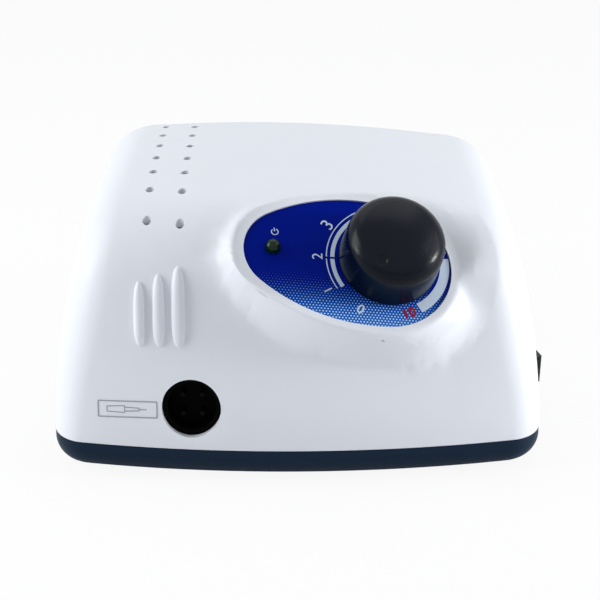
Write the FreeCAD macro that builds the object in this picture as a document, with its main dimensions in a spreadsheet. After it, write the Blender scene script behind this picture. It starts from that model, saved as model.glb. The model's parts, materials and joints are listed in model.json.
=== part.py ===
"""Control unit of a dental micromotor, drawn as an assembly of its separate pieces.

Millimetres. X runs to the right, Y to the back and Z up, seen from the user's seat.
The origin lies on the table, in the middle of the unit's width and depth.
"""
import FreeCAD, Part
import Sketcher
import os
import re
from math import atan2, cos, degrees, pi, radians, sin, sqrt, tan

V = FreeCAD.Vector
X_AXIS, Y_AXIS, Z_AXIS = V(1, 0, 0), V(0, 1, 0), V(0, 0, 1)

doc = FreeCAD.newDocument("micromotor_control_unit")

# Driving dimensions, in millimetres and degrees
SIZES = {
    # Housing
    "width": 168.0,
    "depth": 132.0,
    "seam_height": 12.3,
    "crown_height": 94.0,
    "crown_setback": 81.0,
    "crown_radius": 300.0,
    "bow_radius": 400.0,
    "crown_tilt": 2.4,
    "front_lean": 75.5,
    "rear_lean": 81.0,
    "side_draft": 0.5,
    "side_bulge_radius": 208.0,
    "brow_round": 39.0,
    "edge_round": 18.0,
    "corner_round": 13.0,
    "rear_corner_round": 19.0,
    "wall": 2.5,
    "vent_radius": 1.5,
    "vent_pitch": 12.25,
    "vent_setback": 29.6,
    "vent_stagger": 2.0,
    "vent_left_x": -50.0,
    "vent_right_x": -38.9,
    "fin_spacing": 6.5,
    "fin_left_x": -52.2,
    "fin_foot_height": 45.0,
    "fin_length": 22.0,
    "fin_growth": 3.4,
    "fin_width": 4.1,
    "fin_width_growth": 0.35,
    "post_radius": 4.0,
    "post_inset_x": 24.0,
    "post_inset_y": 16.0,
    "post_foot_height": 16.0,
    # Base tray
    "foot_gap": 1.2,
    "tray_round": 8.0,
    "lip_height": 2.4,
    "lip_width": 1.3,
    "lip_clearance": 0.15,
    "boss_radius": 4.5,
    "foot_radius": 6.0,
    "foot_recess": 1.0,
    "foot_inset_x": 22.0,
    "foot_inset_y": 36.0,
    "slot_length": 30.0,
    "slot_width": 2.4,
    "slot_pitch": 8.0,
    "slot_count": 6,
    "fit_gap": 0.05,
    # Control pad on the front slope
    "pad_x": 29.7,
    "pad_setback": 21.5,
    "pad_height": 72.4,
    "pad_turn": 14.0,
    "pad_lean": 38.3,
    "label_tail_x": -31.8,
    "label_tail_y": 7.5,
    "label_tail_radius": 15.2,
    "label_head_x": -1.5,
    "label_head_y": -1.7,
    "label_head_radius": 22.5,
    "label_upper_radius": 57.6,
    "label_lower_radius": 61.0,
    "label_thickness": 0.5,
    "label_gap": 0.1,
    "rim_width": 2.6,
    "rim_rise": 0.9,
    "dish_rise": 4.0,
    "dish_reach": 12.0,
    "flare_depth": 5.9,
    "flare_tail_x": -32.5,
    "flare_tail_y": 9.5,
    "flare_tail_radius": 19.3,
    "flare_head_x": 6.5,
    "flare_head_y": -0.5,
    "flare_head_radius": 29.0,
    "flare_upper_radius": 64.0,
    "flare_lower_radius": 75.0,
    "mound_depth": 25.9,
    "mound_tail_x": -32.0,
    "mound_tail_y": 10.0,
    "mound_tail_radius": 20.5,
    "mound_head_x": 5.0,
    "mound_head_y": -1.0,
    "mound_head_radius": 32.0,
    "mound_upper_radius": 66.0,
    "mound_lower_radius": 80.0,
    # Speed knob and its potentiometer
    "knob_radius": 16.8,
    "knob_shoulder_radius": 16.4,
    "knob_shoulder_height": 18.0,
    "knob_round": 6.0,
    "knob_height": 20.5,
    "knob_gap": 0.8,
    "knob_wall": 2.4,
    "knob_hub_radius": 5.5,
    "knob_hub_gap": 4.6,
    "knob_turn": 300.0,
    "knob_mark_radius": 2.1,
    "knob_mark_offset": 12.0,
    "knob_mark_angle": 228.8,
    "knob_mark_depth": 0.7,
    "knob_mark_lean": 17.0,
    "shaft_radius": 3.0,
    "shaft_length": 13.5,
    "shaft_depth": 8.0,
    "shaft_flat": 1.5,
    "shaft_clearance": 0.05,
    "bush_radius": 3.5,
    "bush_length": 3.6,
    "bush_clearance": 0.15,
    "pot_radius": 12.0,
    "pot_depth": 10.0,
    "washer_radius": 5.8,
    "washer_thickness": 0.6,
    "nut_across": 10.0,
    "nut_thickness": 2.0,
    # Power lamp
    "lamp_x": -37.2,
    "lamp_y": 9.2,
    "lamp_radius": 2.5,
    "lamp_rise": 0.9,
    "lamp_clearance": 0.1,
    "lamp_flange_radius": 2.9,
    "lamp_flange": 1.0,
    "lamp_lead_length": 9.0,
    "lamp_lead_width": 0.5,
    "lamp_lead_spacing": 2.54,
    "holder_wall": 1.2,
    "holder_length": 6.0,
    # Motor socket
    "socket_x": -35.5,
    "socket_height": 26.0,
    "socket_radius": 10.0,
    "socket_recess": 3.4,
    "socket_collar_radius": 15.0,
    "socket_collar_depth": 6.0,
    "socket_clearance": 0.1,
    "socket_well_radius": 8.2,
    "socket_well_depth": 9.0,
    "socket_length": 20.0,
    "socket_flange": 2.5,
    "socket_barrel_radius": 9.5,
    "socket_disc": 3.6,
    "socket_screw_circle": 12.5,
    "socket_screw_radius": 1.0,
    "socket_screw_length": 4.0,
    "pin_circle": 4.6,
    "pin_radius": 0.75,
    "pin_length": 6.0,
    # Rocker switches
    "switch_length": 21.0,
    "switch_width": 15.0,
    "switch_bezel": 1.2,
    "switch_recess": 1.7,
    "switch_body_length": 19.0,
    "switch_body_width": 12.6,
    "switch_depth": 14.0,
    "switch_cutout_gap": 0.15,
    "rocker_length": 16.4,
    "rocker_width": 10.0,
    "rocker_room": 0.3,
    "rocker_tilt": 10.0,
    "rocker_pivot_depth": 1.5,
    "rocker_edge_rise": 2.6,
    "rocker_middle_rise": 1.9,
    "rocker_depth": 3.0,
    "rocker_room_length": 17.8,
    "rocker_room_depth": 6.0,
    "rocker_pin_radius": 1.0,
    "rocker_pin_clearance": 0.05,
    "terminal_width": 4.8,
    "terminal_thickness": 0.8,
    "terminal_length": 8.0,
    "power_switch_setback": 38.0,
    "direction_switch_setback": 66.0,
    "side_switch_height": 27.0,
    "selector_x": -18.0,
    "selector_height": 34.0,
    # Mains inlet
    "inlet_x": 40.0,
    "inlet_height": 34.0,
    "inlet_width": 49.0,
    "inlet_flange_height": 22.5,
    "inlet_flange": 3.0,
    "inlet_body_width": 27.0,
    "inlet_body_height": 19.8,
    "inlet_depth": 16.0,
    "inlet_cavity_width": 24.0,
    "inlet_cavity_height": 16.4,
    "inlet_cavity_depth": 14.5,
    "inlet_screw_spacing": 40.0,
    "inlet_blade_spacing": 7.0,
    "inlet_blade_width": 4.0,
    "inlet_blade_thickness": 2.0,
    "inlet_blade_recess": 3.0,
    "inlet_tab_length": 8.0,
    # Fuse holder
    "fuse_x": 4.0,
    "fuse_height": 34.0,
    "fuse_barrel_radius": 6.0,
    "fuse_flange_radius": 7.6,
    "fuse_flange": 2.0,
    "fuse_depth": 30.0,
    "fuse_bore_radius": 4.1,
    "fuse_bore_depth": 28.0,
    "fuse_cap_radius": 5.6,
    "fuse_cap_height": 3.0,
    "fuse_cap_gap": 0.1,
    "fuse_stem_length": 10.0,
    "fuse_grip": 2.3,
    "fuse_slot": 1.2,
    "fuse_turn": 60.0,
    "fuse_radius": 2.5,
    "fuse_length": 20.0,
    "fuse_nut_thickness": 3.0,
    "fuse_nut_across": 16.0,
    # Foot control jack
    "jack_x": -42.0,
    "jack_height": 34.0,
    "jack_bore_radius": 3.25,
    "jack_bush_radius": 4.5,
    "jack_bush_rise": 4.5,
    "jack_width": 14.0,
    "jack_depth": 24.0,
    "jack_nut_radius": 7.0,
    "jack_nut_thickness": 2.2,
    "jack_washer_thickness": 0.8,
    "jack_bore_depth": 20.0,
    "lug_width": 2.4,
    "lug_thickness": 0.5,
    "lug_length": 5.0,
    # Transformer
    "core_width": 66.0,
    "core_height": 55.0,
    "core_stack": 30.0,
    "core_leg": 11.0,
    "core_inset": 54.0,
    "core_y": -1.8,
    "core_rest_height": 6.7,
    "bobbin_wall": 1.2,
    "bobbin_gap": 0.3,
    "winding_depth": 8.2,
    "strap_thickness": 1.2,
    "strap_foot": 12.0,
    "strap_gap": 0.1,
    # Circuit board
    "board_gap": 1.2,
    "board_y": -8.0,
    "board_width": 42.0,
    "board_length": 70.0,
    "board_thickness": 1.6,
    "board_rest_height": 10.0,
    "board_hole_inset": 4.0,
    "sink_height": 30.0,
    "sink_width": 26.0,
    "sink_base": 3.0,
    "sink_fin_length": 14.0,
    "sink_fin": 1.6,
    "sink_fin_count": 6,
    "capacitor_radius": 8.0,
    "capacitor_height": 25.0,
    # Screws
    "screw_radius": 1.5,
    "screw_hole_radius": 1.7,
    "screw_head_radius": 2.8,
    "screw_head_height": 2.0,
    "screw_length": 14.0,
    "screw_seat_height": 6.0,
}

sizes = doc.addObject("Spreadsheet::Sheet", "Sizes")
for row, (alias, number) in enumerate(SIZES.items(), 1):
    sizes.set(f"A{row}", alias.replace("_", " "))
    sizes.set(f"B{row}", str(number))
    sizes.setAlias(f"B{row}", alias)
doc.recompute()


def formula(text):
    """Write an expression of size names with the sheet's name before each."""
    def named(found):
        word = found.group(0)
        return "Sizes." + word if word in SIZES else word
    return re.sub(r"[a-z][a-z_0-9]*", named, str(text))


def value(text):
    """Return the number that an expression of size names stands for."""
    return float(sizes.evalExpression(formula(text)))


def bind(item, prop, text):
    """Tie a property to an expression of size names."""
    item.setExpression(prop, formula(text))


def turned(*steps):
    """Combine turns, given as (axis, degrees), the last one applied first."""
    whole = FreeCAD.Rotation()
    for axis, angle in steps:
        whole = whole.multiply(FreeCAD.Rotation(axis, angle))
    return whole


def place(at=V(), *steps):
    return FreeCAD.Placement(at, turned(*steps))


# Sketches, bodies and their features

def sketch_in(body, name, where=None):
    """Add a sketch on a body's base plane, moved to a place of its own."""
    sketch = body.newObject("Sketcher::SketchObject", name)
    plane = [item for item in body.Origin.OriginFeatures if item.Role == "XY_Plane"][0]
    sketch.AttachmentSupport = [(plane, "")]
    sketch.MapMode = "FlatFace"
    sketch.AttachmentOffset = where or FreeCAD.Placement()
    return sketch


def free_sketch(name, where):
    """Add a sketch that belongs to no body."""
    sketch = doc.addObject("Sketcher::SketchObject", name)
    sketch.Placement = where
    return sketch


def constrain(sketch, kind, *refs):
    """Add a dimension, the last item being an expression of size names."""
    number = sketch.addConstraint(Sketcher.Constraint(kind, *refs[:-1], value(refs[-1])))
    bind(sketch, f"Constraints[{number}]", refs[-1])


def add_circle(sketch, x, y, radius):
    circle = Part.Circle(V(value(x), value(y), 0), Z_AXIS, value(radius))
    number = sketch.addGeometry(circle, False)
    constrain(sketch, "Radius", number, radius)
    constrain(sketch, "DistanceX", -1, 1, number, 3, x)
    constrain(sketch, "DistanceY", -1, 1, number, 3, y)


def add_polygon(sketch, points):
    """Draw a closed outline through points given as pairs of expressions."""
    corners = [V(value(x), value(y), 0) for x, y in points]
    lines = [Part.LineSegment(a, b) for a, b in zip(corners, corners[1:] + corners[:1])]
    first = sketch.addGeometry(lines, False)[0]
    for number in range(len(points)):
        following = first + (number + 1) % len(points)
        sketch.addConstraint(Sketcher.Constraint("Coincident", first + number, 2, following, 1))
        constrain(sketch, "DistanceX", -1, 1, first + number, 1, points[number][0])
        constrain(sketch, "DistanceY", -1, 1, first + number, 1, points[number][1])


def add_rectangle(sketch, width, height, x="0", y="0"):
    left, right = f"{x} - ({width}) / 2", f"{x} + ({width}) / 2"
    low, high = f"{y} - ({height}) / 2", f"{y} + ({height}) / 2"
    add_polygon(sketch, [(left, low), (right, low), (right, high), (left, high)])


def add_teardrop(sketch, form, margin):
    """Draw a teardrop: a tail arc and a head arc joined by two long arcs."""
    tail = V(value(form + "_tail_x"), value(form + "_tail_y"), 0)
    head = V(value(form + "_head_x"), value(form + "_head_y"), 0)
    tail_radius = value(f"{form}_tail_radius + {margin}")
    head_radius = value(f"{form}_head_radius + {margin}")

    def long_arc(name, side):
        """Find the centre of a long arc that touches the tail and the head."""
        radius = value(f"{name} + {margin}")
        from_tail, from_head = radius - tail_radius, radius - head_radius
        gap = head - tail
        along = (from_tail ** 2 - from_head ** 2 + gap.Length ** 2) / (2 * gap.Length)
        across = sqrt(from_tail ** 2 - along ** 2)
        forward = gap / gap.Length
        return radius, tail + forward * along + V(-forward.y, forward.x, 0) * across * side

    def heading(centre, other):
        return atan2(other.y - centre.y, other.x - centre.x)

    upper_radius, upper = long_arc(form + "_upper_radius", -1)
    lower_radius, lower = long_arc(form + "_lower_radius", 1)
    arcs = [
        (head, head_radius, heading(lower, head), heading(upper, head)),
        (upper, upper_radius, heading(upper, head), heading(upper, tail)),
        (tail, tail_radius, heading(upper, tail), heading(lower, tail)),
        (lower, lower_radius, heading(lower, tail), heading(lower, head)),
    ]
    names = [f"{form}_{side}_radius" for side in ("head", "upper", "tail", "lower")]
    for centre, radius, start, end in arcs:
        end += 2 * pi * (end < start)
        sketch.addGeometry(Part.ArcOfCircle(Part.Circle(centre, Z_AXIS, radius), start, end), False)
    for number in range(4):
        sketch.addConstraint(Sketcher.Constraint("Tangent", number, 2, (number + 1) % 4, 1))
    for number, name in enumerate(names):
        constrain(sketch, "Radius", number, f"{name} + {margin}")
    for number, end in ((0, "head"), (2, "tail")):
        constrain(sketch, "DistanceX", -1, 1, number, 3, f"{form}_{end}_x")
        constrain(sketch, "DistanceY", -1, 1, number, 3, f"{form}_{end}_y")


def feature(body, kind, name, sketch, length=None, **options):
    """Add a pad, pocket, groove or revolution of a sketch to a body."""
    item = body.newObject("PartDesign::" + kind, name)
    item.Profile = sketch
    if length is not None:
        bind(item, "Length", length)
    for key, setting in options.items():
        setattr(item, key, setting)
    sketch.Visibility = False
    body.Tip = item
    return item


def edge_numbers(shape, wanted):
    """List the numbers of the edges whose middle and span pass a test."""
    found = []
    for number, edge in enumerate(shape.Edges, 1):
        start, end = edge.valueAt(edge.FirstParameter), edge.valueAt(edge.LastParameter)
        middle = edge.valueAt((edge.FirstParameter + edge.LastParameter) / 2)
        if wanted(middle, end - start):
            found.append(number)
    return found


def soften(body, name, base, wanted, radius, kind="Fillet"):
    """Fillet or chamfer the edges of a body's feature that pass a test."""
    doc.recompute()
    item = body.newObject("PartDesign::" + kind, name)
    item.Base = (base, [f"Edge{number}" for number in edge_numbers(base.Shape, wanted)])
    bind(item, "Radius" if kind == "Fillet" else "Size", radius)
    body.Tip = item
    doc.recompute()
    return item


PIECES = []


def piece(label, where=None):
    """Start a sub-part whose own origin lies at a place in the unit."""
    body = doc.addObject("PartDesign::Body", label)
    body.AllowCompound = True
    body.Placement = where or FreeCAD.Placement()
    PIECES.append(body)
    return body


def draw(sketch, outlines):
    """Draw circles (x, y, radius), rectangles (x, y, width, height) and polygons (lists)."""
    for outline in outlines:
        if isinstance(outline, list):
            add_polygon(sketch, outline)
        elif len(outline) == 3:
            add_circle(sketch, *outline)
        else:
            x, y, width, height = outline
            add_rectangle(sketch, width, height, x, y)


def layer(body, name, low, length, *outlines, kind="Pad"):
    """Pad or pocket outlines upwards from a height above the body's own origin."""
    sketch = sketch_in(body, name + "_outline")
    bind(sketch, "AttachmentOffset.Base.z", low)
    draw(sketch, outlines)
    return feature(body, kind, name, sketch, length, Reversed=kind == "Pocket")


def cut(body, name, low, length, *outlines):
    return layer(body, name, low, length, *outlines, kind="Pocket")


def turn(body, name, points, kind="Revolution"):
    """Turn an outline of (radius, height) pairs about the body's own Z axis."""
    sketch = sketch_in(body, name + "_outline", place(V(), (X_AXIS, 90)))
    add_polygon(sketch, points)
    item = feature(body, kind, name, sketch)
    item.ReferenceAxis = (sketch, ["V_Axis"])
    item.Angle = 360
    return item


def across(body, name, low, length, *outlines, kind="Pad"):
    """Pad or pocket outlines drawn in the YZ plane, along X from a distance."""
    sketch = sketch_in(body, name + "_outline", place(V(value(low), 0, 0), (Z_AXIS, 90), (X_AXIS, 90)))
    draw(sketch, outlines)
    return feature(body, kind, name, sketch, length, Reversed=kind == "Pocket")


def repeat(body, name, base, axis, pitch, count):
    """Repeat a feature in a row along one of its sketch's axes."""
    item = body.newObject("PartDesign::LinearPattern", name)
    item.Originals = [base]
    item.Direction = (base.Profile[0], [axis])
    bind(item, "Length", f"{pitch} * ({count} - 1)")
    bind(item, "Occurrences", count)
    body.Tip = item
    return item


def hexagon(across_flats):
    """List the corners of a hexagon, two of its sides lying along X."""
    half, side = f"({across_flats}) / 2", f"({across_flats}) * 0.288675135"
    return [(f"2 * {side}", "0"), (side, half), (f"-{side}", half),
            (f"-2 * {side}", "0"), (f"-{side}", f"-{half}"), (side, f"-{half}")]


# The hull's form, used for the outside, the inside and the tray's lip

def hull_profile(name, inset):
    """Draw the side view of the hull: leaning front, crowned top, open back."""
    front, lean = value(f"-depth / 2 + ({inset}) / sin(front_lean)"), radians(value("front_lean"))
    seam, top = value("seam_height"), value(f"crown_height - ({inset})")
    radius = value(f"crown_radius - ({inset})")
    centre = V(value("crown_setback - depth / 2"), top - radius, 0)
    overrun = 25
    start = V(front - overrun / tan(lean), seam - overrun, 0)
    upwards = V(cos(lean), sin(lean), 0)
    offset = start - centre
    reach = -offset.dot(upwards) + sqrt(offset.dot(upwards) ** 2 - offset.dot(offset) + radius ** 2)
    corner = start + upwards * reach

    def crown(x):
        return V(x, centre.y + sqrt(radius ** 2 - (x - centre.x) ** 2), 0)
    back = value("depth / 2") + overrun
    rear, foot = crown(back), V(back, seam - overrun, 0)
    tilt = radians(value("crown_tilt"))
    lift = V(0, seam * (1 - cos(tilt)), -seam * sin(tilt))
    upright = place(V(), (Z_AXIS, 90), (X_AXIS, 90))
    sketch = free_sketch(name, upright.multiply(place(lift, (X_AXIS, degrees(tilt)))))
    sketch.addGeometry([Part.LineSegment(start, corner), Part.Arc(corner, crown((corner.x + back) / 2), rear),
                        Part.LineSegment(rear, foot), Part.LineSegment(foot, start)], False)
    return sketch


def side_x(height, inset="0"):
    """Half the hull's width at a height, on its bulging side walls."""
    draft, bulge = radians(value("side_draft")), value(f"side_bulge_radius - ({inset})")
    seam = value("seam_height")
    centre_x = value(f"width / 2 - ({inset})") - bulge * cos(draft)
    centre_z = seam - bulge * sin(draft)
    return centre_x + sqrt(bulge ** 2 - (height - centre_z) ** 2)


def rear_y(height, inset="0"):
    """Depth of the flat, leaning rear wall at a height."""
    back = (height - value("seam_height")) / tan(radians(value("rear_lean")))
    return value(f"depth / 2 - ({inset}) / sin(rear_lean)") - back


def extrusion(name, sketch, length, symmetric=True):
    item = doc.addObject("Part::Extrusion", name)
    item.Base = sketch
    item.DirMode = "Normal"
    item.LengthFwd = length
    item.Symmetric = symmetric
    item.Solid = True
    return item


def hull_block(name, inset, bottom):
    """Make the hull's form with sharp edges, moved inwards by an inset."""
    turned_top = doc.addObject("Part::Revolution", name + "_turned_top")
    turned_top.Source = hull_profile(name + "_side_view", inset)
    reach = value("bow_radius") / sqrt(2)
    brow = V(0, value("-depth / 2") + 20, value("crown_height") - 6)
    tilt = FreeCAD.Rotation(Y_AXIS, value("crown_tilt"))
    pivot = V(0, 0, value("seam_height"))
    turned_top.Base = pivot + tilt.multVec(brow + V(0, reach, -reach) - pivot)
    turned_top.Axis = tilt.multVec(V(0, 1, 1))
    turned_top.Angle = 60
    turned_top.Symmetric = True
    turned_top.Solid = True
    low, high = value(bottom), value("crown_height") + 16
    middle = (low + high) / 2

    def side(height, sign):
        return V(sign * side_x(height, inset), height, 0)
    front = free_sketch(name + "_front_view", place(V(), (X_AXIS, 90)))
    front.addGeometry([Part.LineSegment(side(low, -1), side(low, 1)),
                       Part.Arc(side(low, 1), side(middle, 1), side(high, 1)),
                       Part.LineSegment(side(high, 1), side(high, -1)),
                       Part.Arc(side(high, -1), side(middle, -1), side(low, -1))], False)
    corners = [V(-120, 0, 0), V(rear_y(0, inset), 0, 0), V(rear_y(high, inset), high, 0), V(-120, high, 0)]
    flat = free_sketch(name + "_rear_view", place(V(), (Z_AXIS, 90), (X_AXIS, 90)))
    flat.addGeometry([Part.LineSegment(corners[i], corners[(i + 1) % 4]) for i in range(4)], False)
    common = doc.addObject("Part::MultiCommon", name + "_block")
    common.Shapes = [turned_top, extrusion(name + "_sides", front, 300), extrusion(name + "_rear", flat, 300)]
    doc.recompute()
    return common


def rounded(name, base, wanted, radius, foot_radius=None):
    """Round the edges of a solid that pass a test, tighter at the foot of a front upright."""
    result = doc.addObject("Part::Fillet", name)
    result.Base = base
    choice = []
    for number in edge_numbers(base.Shape, wanted):
        edge = base.Shape.Edges[number - 1]
        start, end = edge.valueAt(edge.FirstParameter), edge.valueAt(edge.LastParameter)
        upright = foot_radius is not None and start.y < 0 and abs(end.z - start.z) > 35
        pair = (foot_radius, radius) if upright else (radius, radius)
        choice.append((number, *(pair if start.z < end.z else pair[::-1])))
    result.Edges = choice
    doc.recompute()
    return result


def hull_form(name, inset, bottom):
    """Make the hull's form with its brow, uprights and rim rounded."""
    block = hull_block(name, inset, bottom)
    top = value(f"crown_height - ({inset})")

    def brow_edge(at, span):
        return abs(span.y) + abs(span.z) < 12 and at.z > top - 20 and at.y < 0

    def rear_upright(at, span):
        return abs(span.x) < 20 and abs(span.z) > 40 and at.y > 40

    def rim_edge(at, span):
        smooth_brow_line = abs(span.x) > 100 and at.y < 0
        return at.z > value(bottom) + 1 and not smooth_brow_line and not rear_upright(at, span)
    brow = rounded(name + "_brow", block, brow_edge, value(f"brow_round - ({inset})"))
    uprights = rounded(name + "_uprights", brow, rear_upright, value(f"rear_corner_round - ({inset})"))
    edge, corner = value(f"edge_round - ({inset})"), value(f"corner_round - ({inset})")
    return rounded(name + "_form", uprights, rim_edge, edge, corner)


outer = hull_form("outer", "0", "seam_height")
inner = hull_form("inner", "wall", "seam_height - 1")


def front_point(x, z):
    """Return the point of the hull's front at a place across and up."""
    line = Part.makeLine(V(x, -200, z), V(x, 0, z))
    hits = line.common(outer.Shape).Vertexes
    return min((item.Point for item in hits), key=lambda point: point.y)


# Places that several pieces share: each has its own Z along the outward normal
PAD = place(V(value("pad_x"), value("pad_setback - depth / 2"), value("pad_height")),
            (Z_AXIS, value("pad_turn")), (X_AXIS, value("pad_lean")))


def on_pad(x, y, z=0, *steps):
    return PAD.multiply(place(V(x, y, z), *steps))


# Flat places in the right wall and on the rear wall, with Z pointing outwards
def in_right_wall(setback):
    height = value("side_switch_height")
    at = V(side_x(height, "switch_recess"), value(setback + " - depth / 2"), height)
    return place(at, (Z_AXIS, 90), (X_AXIS, 90), (Z_AXIS, 90))


def on_rear_wall(x, height):
    return place(V(x, rear_y(height), height), (Z_AXIS, 180), (X_AXIS, value("rear_lean")))


POWER = in_right_wall("power_switch_setback")
DIRECTION = in_right_wall("direction_switch_setback")
SELECTOR = on_rear_wall(value("selector_x"), value("selector_height"))
INLET = on_rear_wall(value("inlet_x"), value("inlet_height"))
FUSE = on_rear_wall(value("fuse_x"), value("fuse_height"))
JACK = on_rear_wall(value("jack_x"), value("jack_height"))

CORNERS = [(f"{a}(width / 2 - post_inset_x)", f"{b}(depth / 2 - post_inset_y)") for a in ("", "-") for b in ("", "-")]

# Upper housing

housing = piece("upper_housing")
housing.BaseFeature = outer


def teardrop_loft(body, kind, name, *levels):
    """Join teardrops, given as (height above the pad, form, margin), by straight sides."""
    outlines = []
    for number, (height, form, margin) in enumerate(levels, 1):
        outline = sketch_in(body, f"{name}_outline_{number}", on_pad(0, 0, value(height)))
        add_teardrop(outline, form, margin)
        outline.Visibility = False
        outlines.append(outline)
    item = body.newObject("PartDesign::" + kind + "Loft", name)
    item.Profile = outlines[0]
    item.Sections = outlines[1:]
    item.Ruled = True
    body.Tip = item


teardrop_loft(housing, "Additive", "mound", ("rim_rise", "label", "rim_width"),
              ("rim_rise - flare_depth", "flare", "0"), ("rim_rise - mound_depth", "mound", "0"))
teardrop_loft(housing, "Subtractive", "dish", ("rim_rise", "label", "rim_width"),
              ("rim_rise + dish_rise", "label", "rim_width + dish_reach"))

# Ridges for the fingers on the left of the front
for number in range(3):
    x = value(f"fin_left_x + fin_spacing * {number}")
    length = f"(fin_length + fin_growth * {number})"
    foot_z = value("fin_foot_height")
    foot = front_point(x, foot_z)
    head = front_point(x + 1, foot_z + value(length) * sin(radians(value("front_lean"))))
    run = head - foot
    ridge_turn = FreeCAD.Rotation(run, V(), -Y_AXIS, "XZY")
    ridge_sketch = sketch_in(housing, f"ridge_{number + 1}_outline", FreeCAD.Placement(foot, ridge_turn))
    half = value(f"(fin_width + fin_width_growth * {number}) / 2")
    reach = run.Length
    ridge_sketch.addGeometry([Part.LineSegment(V(), V(reach, 0, 0)),
                              Part.Arc(V(reach, 0, 0), V(reach / 2, half, 0), V())], False)
    for end in ((0, 1, 1, 2), (0, 2, 1, 1)):
        ridge_sketch.addConstraint(Sketcher.Constraint("Coincident", *end))
    ridge = feature(housing, "Revolution", f"ridge_{number + 1}", ridge_sketch)
    ridge.ReferenceAxis = (ridge_sketch, ["H_Axis"])
    ridge.Angle = 360

# Inside of the housing, with the screw posts and the socket's collar left standing
cavity = doc.addObject("PartDesign::Body", "housing_cavity")
cavity.BaseFeature = inner
ROOF_TOP = "rim_rise + dish_rise - wall * 1.2"
teardrop_loft(cavity, "Subtractive", "pad_roof", ("-label_thickness - wall", "label", "rim_width"),
              (ROOF_TOP, "label", "rim_width + dish_reach"))
roof_sketch = sketch_in(cavity, "dish_roof_outline", on_pad(0, 0, value(ROOF_TOP)))
add_teardrop(roof_sketch, "label", "rim_width + dish_reach")
feature(cavity, "Pocket", "dish_roof", roof_sketch, "crown_height / 3", Reversed=True)
teardrop_loft(cavity, "Additive", "mound_hollow", ("-label_thickness - wall", "label", "0"),
              ("rim_rise - flare_depth - wall", "flare", "-wall"), ("rim_rise - mound_depth", "mound", "-wall"))
post_sketch = sketch_in(cavity, "posts", place(V(0, 0, value("post_foot_height"))))
draw(post_sketch, [(x, y, "post_radius") for x, y in CORNERS])
feature(cavity, "Pocket", "post_room", post_sketch, "crown_height", Reversed=True)

SOCKET = FreeCAD.Placement(front_point(value("socket_x"), value("socket_height")),
                           turned((X_AXIS, value("front_lean"))))
collar_sketch = sketch_in(cavity, "collar", SOCKET.multiply(place(V(0, 0, value("-socket_collar_depth")))))
add_circle(collar_sketch, "0", "0", "socket_collar_radius")
feature(cavity, "Pocket", "collar_room", collar_sketch, "socket_collar_depth * 2", Reversed=True)

for name, where in (("power", POWER), ("direction", DIRECTION)):
    backing = sketch_in(cavity, name + "_backing", where.multiply(place(V(0, 0, value("-wall")))))
    add_rectangle(backing, "switch_width + 2 * wall", "switch_length + 2 * wall")
    feature(cavity, "Pocket", name + "_backing_room", backing, "switch_recess * 6", Reversed=True)

hollowing = housing.newObject("PartDesign::Boolean", "hollowing")
hollowing.Type = "Cut"
hollowing.setObjects([cavity])
housing.Tip = hollowing

# Openings in the housing
recess_sketch = sketch_in(housing, "label_recess", on_pad(0, 0, value("-label_thickness")))
add_teardrop(recess_sketch, "label", "label_gap")
feature(housing, "Pocket", "label_recess_cut", recess_sketch, "20", Reversed=True)
pad_holes = sketch_in(housing, "pad_holes", PAD)
add_circle(pad_holes, "0", "0", "bush_radius + bush_clearance")
add_circle(pad_holes, "lamp_x", "lamp_y", "lamp_radius + lamp_clearance")
feature(housing, "Pocket", "pad_hole_cut", pad_holes, "label_thickness + wall + 1")
socket_hole = sketch_in(housing, "socket_hole", SOCKET.multiply(place(V(0, 0, 5))))
add_circle(socket_hole, "0", "0", "socket_radius")
feature(housing, "Pocket", "socket_hole_cut", socket_hole, "socket_collar_depth + 6")
socket_pilots = sketch_in(housing, "socket_pilots", SOCKET.multiply(place(V(0, 0, value("-socket_collar_depth")))))
for x in ("socket_screw_circle", "-socket_screw_circle"):
    add_circle(socket_pilots, x, "0", "socket_screw_radius + fit_gap")
feature(housing, "Pocket", "socket_pilot_cut", socket_pilots, "socket_screw_length", Reversed=True)
vents = sketch_in(housing, "vents", place(V(0, 0, value("crown_height") + 5)))
for number in range(7):
    y = f"vent_setback - depth / 2 + vent_pitch * {number}"
    add_circle(vents, "vent_left_x", y, "vent_radius")
    add_circle(vents, "vent_right_x", f"{y} - vent_stagger", "vent_radius")
feature(housing, "Pocket", "vent_cut", vents, "crown_height / 3")
pilots = sketch_in(housing, "screw_pilots", place(V(0, 0, value("post_foot_height") - 1)))
draw(pilots, [(x, y, "screw_radius + fit_gap") for x, y in CORNERS])
feature(housing, "Pocket", "screw_pilot_cut", pilots, "screw_length", Reversed=True)


for name, where in (("power", POWER), ("direction", DIRECTION)):
    recess = sketch_in(housing, name + "_recess", where)
    add_rectangle(recess, "switch_width + 2 * switch_cutout_gap", "switch_length + 2 * switch_cutout_gap")
    feature(housing, "Pocket", name + "_recess_cut", recess, "switch_recess * 6", Reversed=True)
for name, where in (("power", POWER), ("direction", DIRECTION), ("selector", SELECTOR)):
    window = sketch_in(housing, name + "_window", where.multiply(place(V(0, 0, 3))))
    add_rectangle(window, "switch_body_width + 2 * switch_cutout_gap",
                  "switch_body_length + 2 * switch_cutout_gap")
    feature(housing, "Pocket", name + "_window_cut", window, "wall + 6")
inlet_window = sketch_in(housing, "inlet_window", INLET.multiply(place(V(0, 0, 3))))
add_rectangle(inlet_window, "inlet_body_width + 2 * switch_cutout_gap",
              "inlet_body_height + 2 * switch_cutout_gap")
for x in ("inlet_screw_spacing / 2", "-inlet_screw_spacing / 2"):
    add_circle(inlet_window, x, "0", "screw_radius + fit_gap")
feature(housing, "Pocket", "inlet_window_cut", inlet_window, "wall + 6")
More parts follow.
